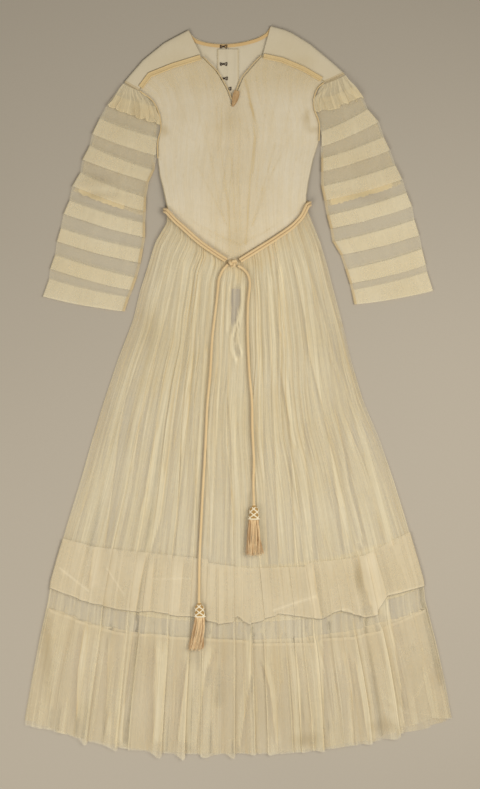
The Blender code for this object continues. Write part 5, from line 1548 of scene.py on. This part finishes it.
def make_short_sleeve(side, rows):
    """The lining: a shorter tube with a frilled raw edge."""
    flip = side == "r"
    seed = 40 if flip else 50
    picked = [r for r in rows if r[6] and r[0] not in ("cap", "shoulder")]
    below = rows[[r[0] for r in rows].index("e_top")]
    grid = []
    for w in np.linspace(0, 1, 40):
        place = w * (len(picked) - 1)
        n = min(int(place), len(picked) - 2)
        a, b = list(picked[n]), list(picked[n + 1])
        if b[0] == "d_edge":
            for k in (1, 2, 3, 4):
                b[k] = lerp(b[k], below[k], 0.33)
        ox, oy, ix, iy = (lerp(a[k], b[k], place - n) for k in (1, 2, 3, 4))
        left, right = ((ix, iy), (ox, oy)) if flip else ((ox, oy), (ix, iy))
        s = np.linspace(0, 1, 121)
        x = lerp(left[0] + 6, right[0] - 6, s)
        frill = smooth((w - 0.86) / 0.14)
        y = lerp(left[1], right[1], s) - SLEEVE_BOW * s * (1 - s)
        y = y + frill * (2.4 * noise(x, y, 3.5, 200, seed + 7) + 2.2 * noise(x, y, 13, 200, seed + 8))
        z = 3.7 + 0.3 * noise(x, y, 12, 30, seed + 9) + frill * 0.45 * noise(x, y, 2.6, 60, seed)
        front = np.stack([x, y, np.clip(z, 3.2, 4.15)], -1)
        s = np.linspace(1, 0, 31)
        x = lerp(left[0] + 6, right[0] - 6, s)
        y = lerp(left[1], right[1], s) - SLEEVE_BOW * s * (1 - s)
        y = y + frill * 2 * noise(x, 0 * x, 4, 9, seed)
        back = np.stack([x, y, np.full(len(x), 2.0)], -1)
        grid.append(closed_row(front, back, 0.8))
    grid = np.array(grid)
    low_edge = smooth((np.linspace(0, 1, 40) - 0.9) / 0.06)[:, None]
    part = (spot(79, 0)[0], spot(124, 0)[0]) if side == "l" else (spot(330, 0)[0], spot(392, 0)[0])
    shown = (grid[..., 0] > part[0]) & (grid[..., 0] < part[1])
    frayed = low_edge * np.where(shown, 1.0, 0.15)
    obj = cloth_piece("gown_short_sleeve_" + side, grid, SHEER_SHORT, True, marks=0.3 * frayed,
                      valley_shade=0.2, dense=0.9 * frayed, packed=0.5)
    placed(obj, ["sleeve_lining_" + side])


def make_ruffle(side, rows):
    """The gathered top tuck, folded at its wavy edge."""
    seed = 40 if side == "r" else 50
    keys = (0.25, 0.1, 0.12)
    grid = []
    ws = np.concatenate([np.linspace(0, 2, 30), [1.985], np.linspace(1.9, 1.1, 9)])
    for n, w in enumerate(ws):
        k = min(int(w), 1)
        a, b = [[lerp(rows[j][c], rows[j + 1][c], keys[j]) for c in (1, 2, 3, 4)] for j in (k, k + 1)]
        ox, oy, ix, iy = (lerp(a[c], b[c], w - k) for c in range(4))
        length = math.dist((ox, oy), (ix, iy))
        q = np.linspace(0, 1, 241)
        share = lerp(0.012, 1 + 2.2 / length, q)
        x, y = lerp(ox, ix, share), lerp(oy, iy, share)
        y = y - SLEEVE_BOW * share * (1 - share) * np.interp(w, [0, 1, 2], [0.3, 0.8, 1.0])
        phase = q * 5 + 0.9 * noise(q * 5, w + 0 * q, 1.2, 1.4, seed + 12)
        wave = np.sin(PI * phase) ** 2
        tall = np.interp(w, [0, 1, 2], [0.5, 1.4, 2.2])
        uneven = 0.75 + 0.35 * noise(q * 9, 0 * q, 1.0, 9, seed + 13)
        uneven_gathers = np.sin(PI * (q * 34 + 0.4 * noise(q * 34, w, 1, 1, 4))) ** 2
        gathers = 0.2 * np.interp(w, [0, 0.6], [1, 0.0]) * uneven_gathers
        z = 7.3 + tall * wave * uneven + gathers
        y = y + np.interp(w, [0, 1.2, 2], [0, 1.2, 5.0]) * (wave - 0.5)
        x = x + np.interp(w, [0, 2], [0, 4.2]) * np.sin(2 * PI * phase)
        z = z + 0.2 * noise(x, y, 3, 14, seed + 14) - (0.45 if n > 30 else 0)
        grid.append(np.stack([x, y, z], -1))
    edge = 0.9 * (np.abs(ws - 2.0) < 0.06)[:, None]
    obj = cloth_piece("gown_ruffle_" + side, grid, SHEER_RUFFLE, reach=14, valley_shade=0.7,
                      dense=edge, plan=(16.0, 0.8), fine=0.4)
    placed(obj, ["sleeve_ruffle_" + side])


# The belt, its knot, the hanging ends and the tassels

def make_belt():
    """The two strands round the waist and their knot, drawn as a crossed loop."""
    for name, node, line in (("belt_cord_a", "belt_upper", BELTS[0]),
                             ("belt_cord_b", "belt_lower", BELTS[1])):
        obj = rope(name, line, CORD_R + 0.35, CORD)
        placed(obj, [node])

    centre = np.array([KNOT[0], KNOT[1], OVER_TOP + 7.5])
    t = np.linspace(0, 2 * PI, 200)
    loop = np.stack([(np.sin(t) + 2 * np.sin(2 * t)) * 2.3, (np.cos(t) - 2 * np.cos(2 * t)) * 2.0,
                     -np.sin(3 * t) * 2.7], -1) + centre
    knot = rope("belt_tie", loop, 3.0, CORD, 11.0)
    placed(knot, ["belt_knot"])


# The section of a tassel's head: radius, depth below the cord's end
HEAD_PROFILE = [
    (0.6, 0.6), (2.4, 0.3), (2.7, -0.6), (2.9, -2.2), (3.3, -3.4), (4.6, -5.2), (5.8, -7.0),
    (7.0, -9.4), (7.9, -12.2), (8.3, -15.0), (7.7, -17.2), (6.7, -19.0), (7.2, -22.6), (7.9, -26.0),
    (8.0, -28.4), (7.5, -30.2), (6.6, -31.0),
]
TASSEL_MATS = [CORD, WHITE_THREAD, GOLD_THREAD, FRINGE, FRINGE_DEEP]
# Layers of the fringe: strands, half width above, half width below, height
FRINGE_LAYERS = [(44, 8.2, 12.5, -2.6), (52, 9.6, 15.0, 0.0), (40, 8.2, 13.0, 2.6)]
# Each tassel's own hang: the head's skew, how far the fringe leans, its width, its extra length
TASSEL_HANG = {"left": (2.2, -6.5, 1.0, 2.0), "right": (0.0, 1.0, 1.15, 8.0)}


def head_thread(j, around, down):
    """Which of the tassel's materials a face of the head has."""
    if down > -3.4:
        return 0
    if down > -6.0:
        return 2
    if down < -28.4:
        return 1
    # White strands cross over gold, one crossing above the other.
    zigzag = abs(((j * 4 / around + 0.5) % 1.0) * 2 - 1) * 5.7
    return 1 if ((down + zigzag) % 11.4) < 2.9 or ((down - zigzag) % 11.4) < 2.9 else 2


def make_tassel(side, cord):
    """The head of a tassel, its ring and its fringe: one piece on the cord's end."""
    node = "tassel_" + side
    skew, lean, broader, longer = TASSEL_HANG[side]
    low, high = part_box(node)
    ex, ey = cord[-1][0], cord[-1][1] - 0.4
    ez = (low[2] + high[2]) / 2 / MM
    points, quads, which = [], [], []

    def add(grid, mat_of):
        rows, cols = grid.shape[:2]
        quads.extend((grid_quads(rows, cols, True) + len(points)).tolist())
        points.extend(grid.reshape(-1, 3).tolist())
        which.extend(mat_of(i, j) for i in range(rows - 1) for j in range(cols))

    downs = np.linspace(0.6, -HEAD_LENGTH, 78)
    radii = table([(down, radius) for radius, down in HEAD_PROFILE], downs)
    around = 64
    angle = 2 * PI * np.arange(around) / around
    wound = 0.16 * np.sin(downs * 5.2)[:, None] + 0.1 * np.sin(angle * 32)[None] * (downs < -4)[:, None]
    r = radii[:, None] + wound
    broad = np.interp(downs, [-31, -8, -3], [1.48, 1.12, 1.0])[:, None]
    across = ex + skew * np.clip(-downs / HEAD_LENGTH, 0, 1)[:, None]
    grid = np.stack([across + broad * r * np.cos(angle), ey + downs[:, None] + 0 * r,
                     ez + r * 0.64 * np.sin(angle)], -1)
    add(grid, lambda i, j: head_thread(j, around, downs[i]))

    w = np.linspace(0, 1, 11)
    for layer, (count, root, tip, deep) in enumerate(FRINGE_LAYERS):
        for n in range(count):
            c = (2 * n + 1) / count - 1 + 0.05 * (dice(n, layer, 3) - 0.5)
            tuft = noise(n * 0.37, layer * 5.0, 1.0, 1.0, 14)
            long = (FRINGE_LENGTH + longer) * (0.9 + 0.1 * dice(n, layer, 4)) + 2.0 * tuft
            sway = (dice(n, layer, 5) - 0.5) * 2.0 + 3.0 * tuft
            tip_at = c * tip * broader + lean
            x = ex + lerp(skew + c * root, tip_at, w ** 1.5) + sway * np.sin(PI * w * 1.3)
            x = x + 0.35 * noise(w * 9, n + 0 * w, 1.0, 1.0, 6)
            y = ey - HEAD_LENGTH + 1.5 - long * w
            curl = (dice(n, layer, 7) - 0.5) * 1.4
            z = ez + deep * (1 - 0.1 * w) + curl * np.sin(PI * w)
            z = z + 0.5 * (dice(n, layer, 8) - 0.5)
            z = z + 1.1 * tuft * w
            line = np.stack([x, y, z], -1)
            size = 0.5 * (1 - 0.35 * w)
            ring = 2 * PI * np.arange(4) / 4 + 1.2 * dice(n, layer, 9)
            tube = line[:, None] + size[:, None, None] * np.stack(
                [np.cos(ring), 0 * ring, np.sin(ring)], -1)[None]
            kind = 4 if dice(n, layer, 12) + 0.45 * tuft < 0.42 else 3
            add(tube, lambda i, j: kind)
    obj = make_mesh("tassel_piece_" + side, points, quads, TASSEL_MATS, None, which)
    placed(obj, [node])
    return obj


def make_ends():
    """The belt's hanging ends: each a free cord with its tassel."""
    for side, line in (("left", CORD_LEFT), ("right", CORD_RIGHT)):
        obj = rope("hanging_cord_" + side, line, END_R, CORD)
        placed(obj, ["cord_" + side])
        tassel = make_tassel(side, line)


# The floor, the light and the camera

def make_room():
    """The floor, the soft light and the camera."""
    n = Nodes("grey_paper")
    broad = n.cloud(1.3, 0.3, 0.7, 2.0, 0.5)
    fine = n.cloud(400.0, 0.3, 0.7)
    colour = n.mix(n.math("MULTIPLY", broad, 0.35), srgb(176, 166, 149), srgb(170, 160, 143))
    colour = n.mix(n.math("MULTIPLY", fine, 0.1), colour, srgb(150, 140, 124))
    n.finish(colour, n.bump(fine, 0.1, 0.0003), None, 0.95, 0.0, 0.1)
    mesh = bpy.data.meshes.new("floor")
    half, level_z = 6, -0.0004
    corners = [(-half, -half), (half, -half), (half, half), (-half, half)]
    mesh.from_pydata([(x, y, level_z) for x, y in corners], [], [(0, 1, 2, 3)])
    mesh.materials.append(n.mat)
    floor = bpy.data.objects.new("floor", mesh)
    bpy.context.scene.collection.objects.link(floor)

    world = bpy.data.worlds.new("soft_room")
    bpy.context.scene.world = world
    world.use_nodes = True
    sky = world.node_tree.nodes["Background"]
    sky.inputs[0].default_value = (1.0, 0.985, 0.96, 1.0)
    sky.inputs[1].default_value = 0.32

    def lamp(name, place, aim, size, power, colour):
        data = bpy.data.lights.new(name, "AREA")
        data.shape = "RECTANGLE"
        data.size, data.size_y = size
        data.energy = power
        data.color = colour
        obj = bpy.data.objects.new(name, data)
        bpy.context.scene.collection.objects.link(obj)
        obj.location = place
        way = Vector(aim) - Vector(place)
        obj.rotation_euler = way.to_track_quat("-Z", "Y").to_euler()

    lamp("key", (-0.95, -1.05, 1.65), (-0.46, 0.9, 0.0), (1.1, 1.1), 21, (1.0, 0.985, 0.96))
    lamp("soft", (1.0, 0.0, 1.62), (-0.87, -1.59, 0.0), (1.1, 1.1), 27, (1.0, 0.99, 0.97))

    data = bpy.data.cameras.new("camera")
    data.sensor_fit = "VERTICAL"
    data.sensor_height = 24.0
    # The camera looks straight down; the picture is 1.5385 m tall on the floor.
    distance, view_tall = 6.0, 1.5385
    data.lens = data.sensor_height * distance / view_tall
    data.clip_end = 50.0
    camera = bpy.data.objects.new("camera", data)
    bpy.context.scene.collection.objects.link(camera)
    camera.location = (0.0029, -0.0039, distance)
    bpy.context.scene.camera = camera
    bpy.context.scene.view_settings.view_transform = "Standard"
    bpy.context.scene.cycles.transparent_max_bounces = 28


make_room()
make_ends()
make_belt()
make_skirt()
make_tuck()
make_hem()
make_bodice()
make_lining()
make_backs()
make_bands()
make_pipings()
make_tapes()
make_hooks()
for side, places in SLEEVE_PLACES.items():
    rows = [(name, *ends, tuck, lined) for (name, tuck, lined), ends in zip(SLEEVE_ROWS, places)]
    make_sleeve(side, rows)
    make_short_sleeve(side, rows)
    make_ruffle(side, rows)

bpy.context.view_layer.update()
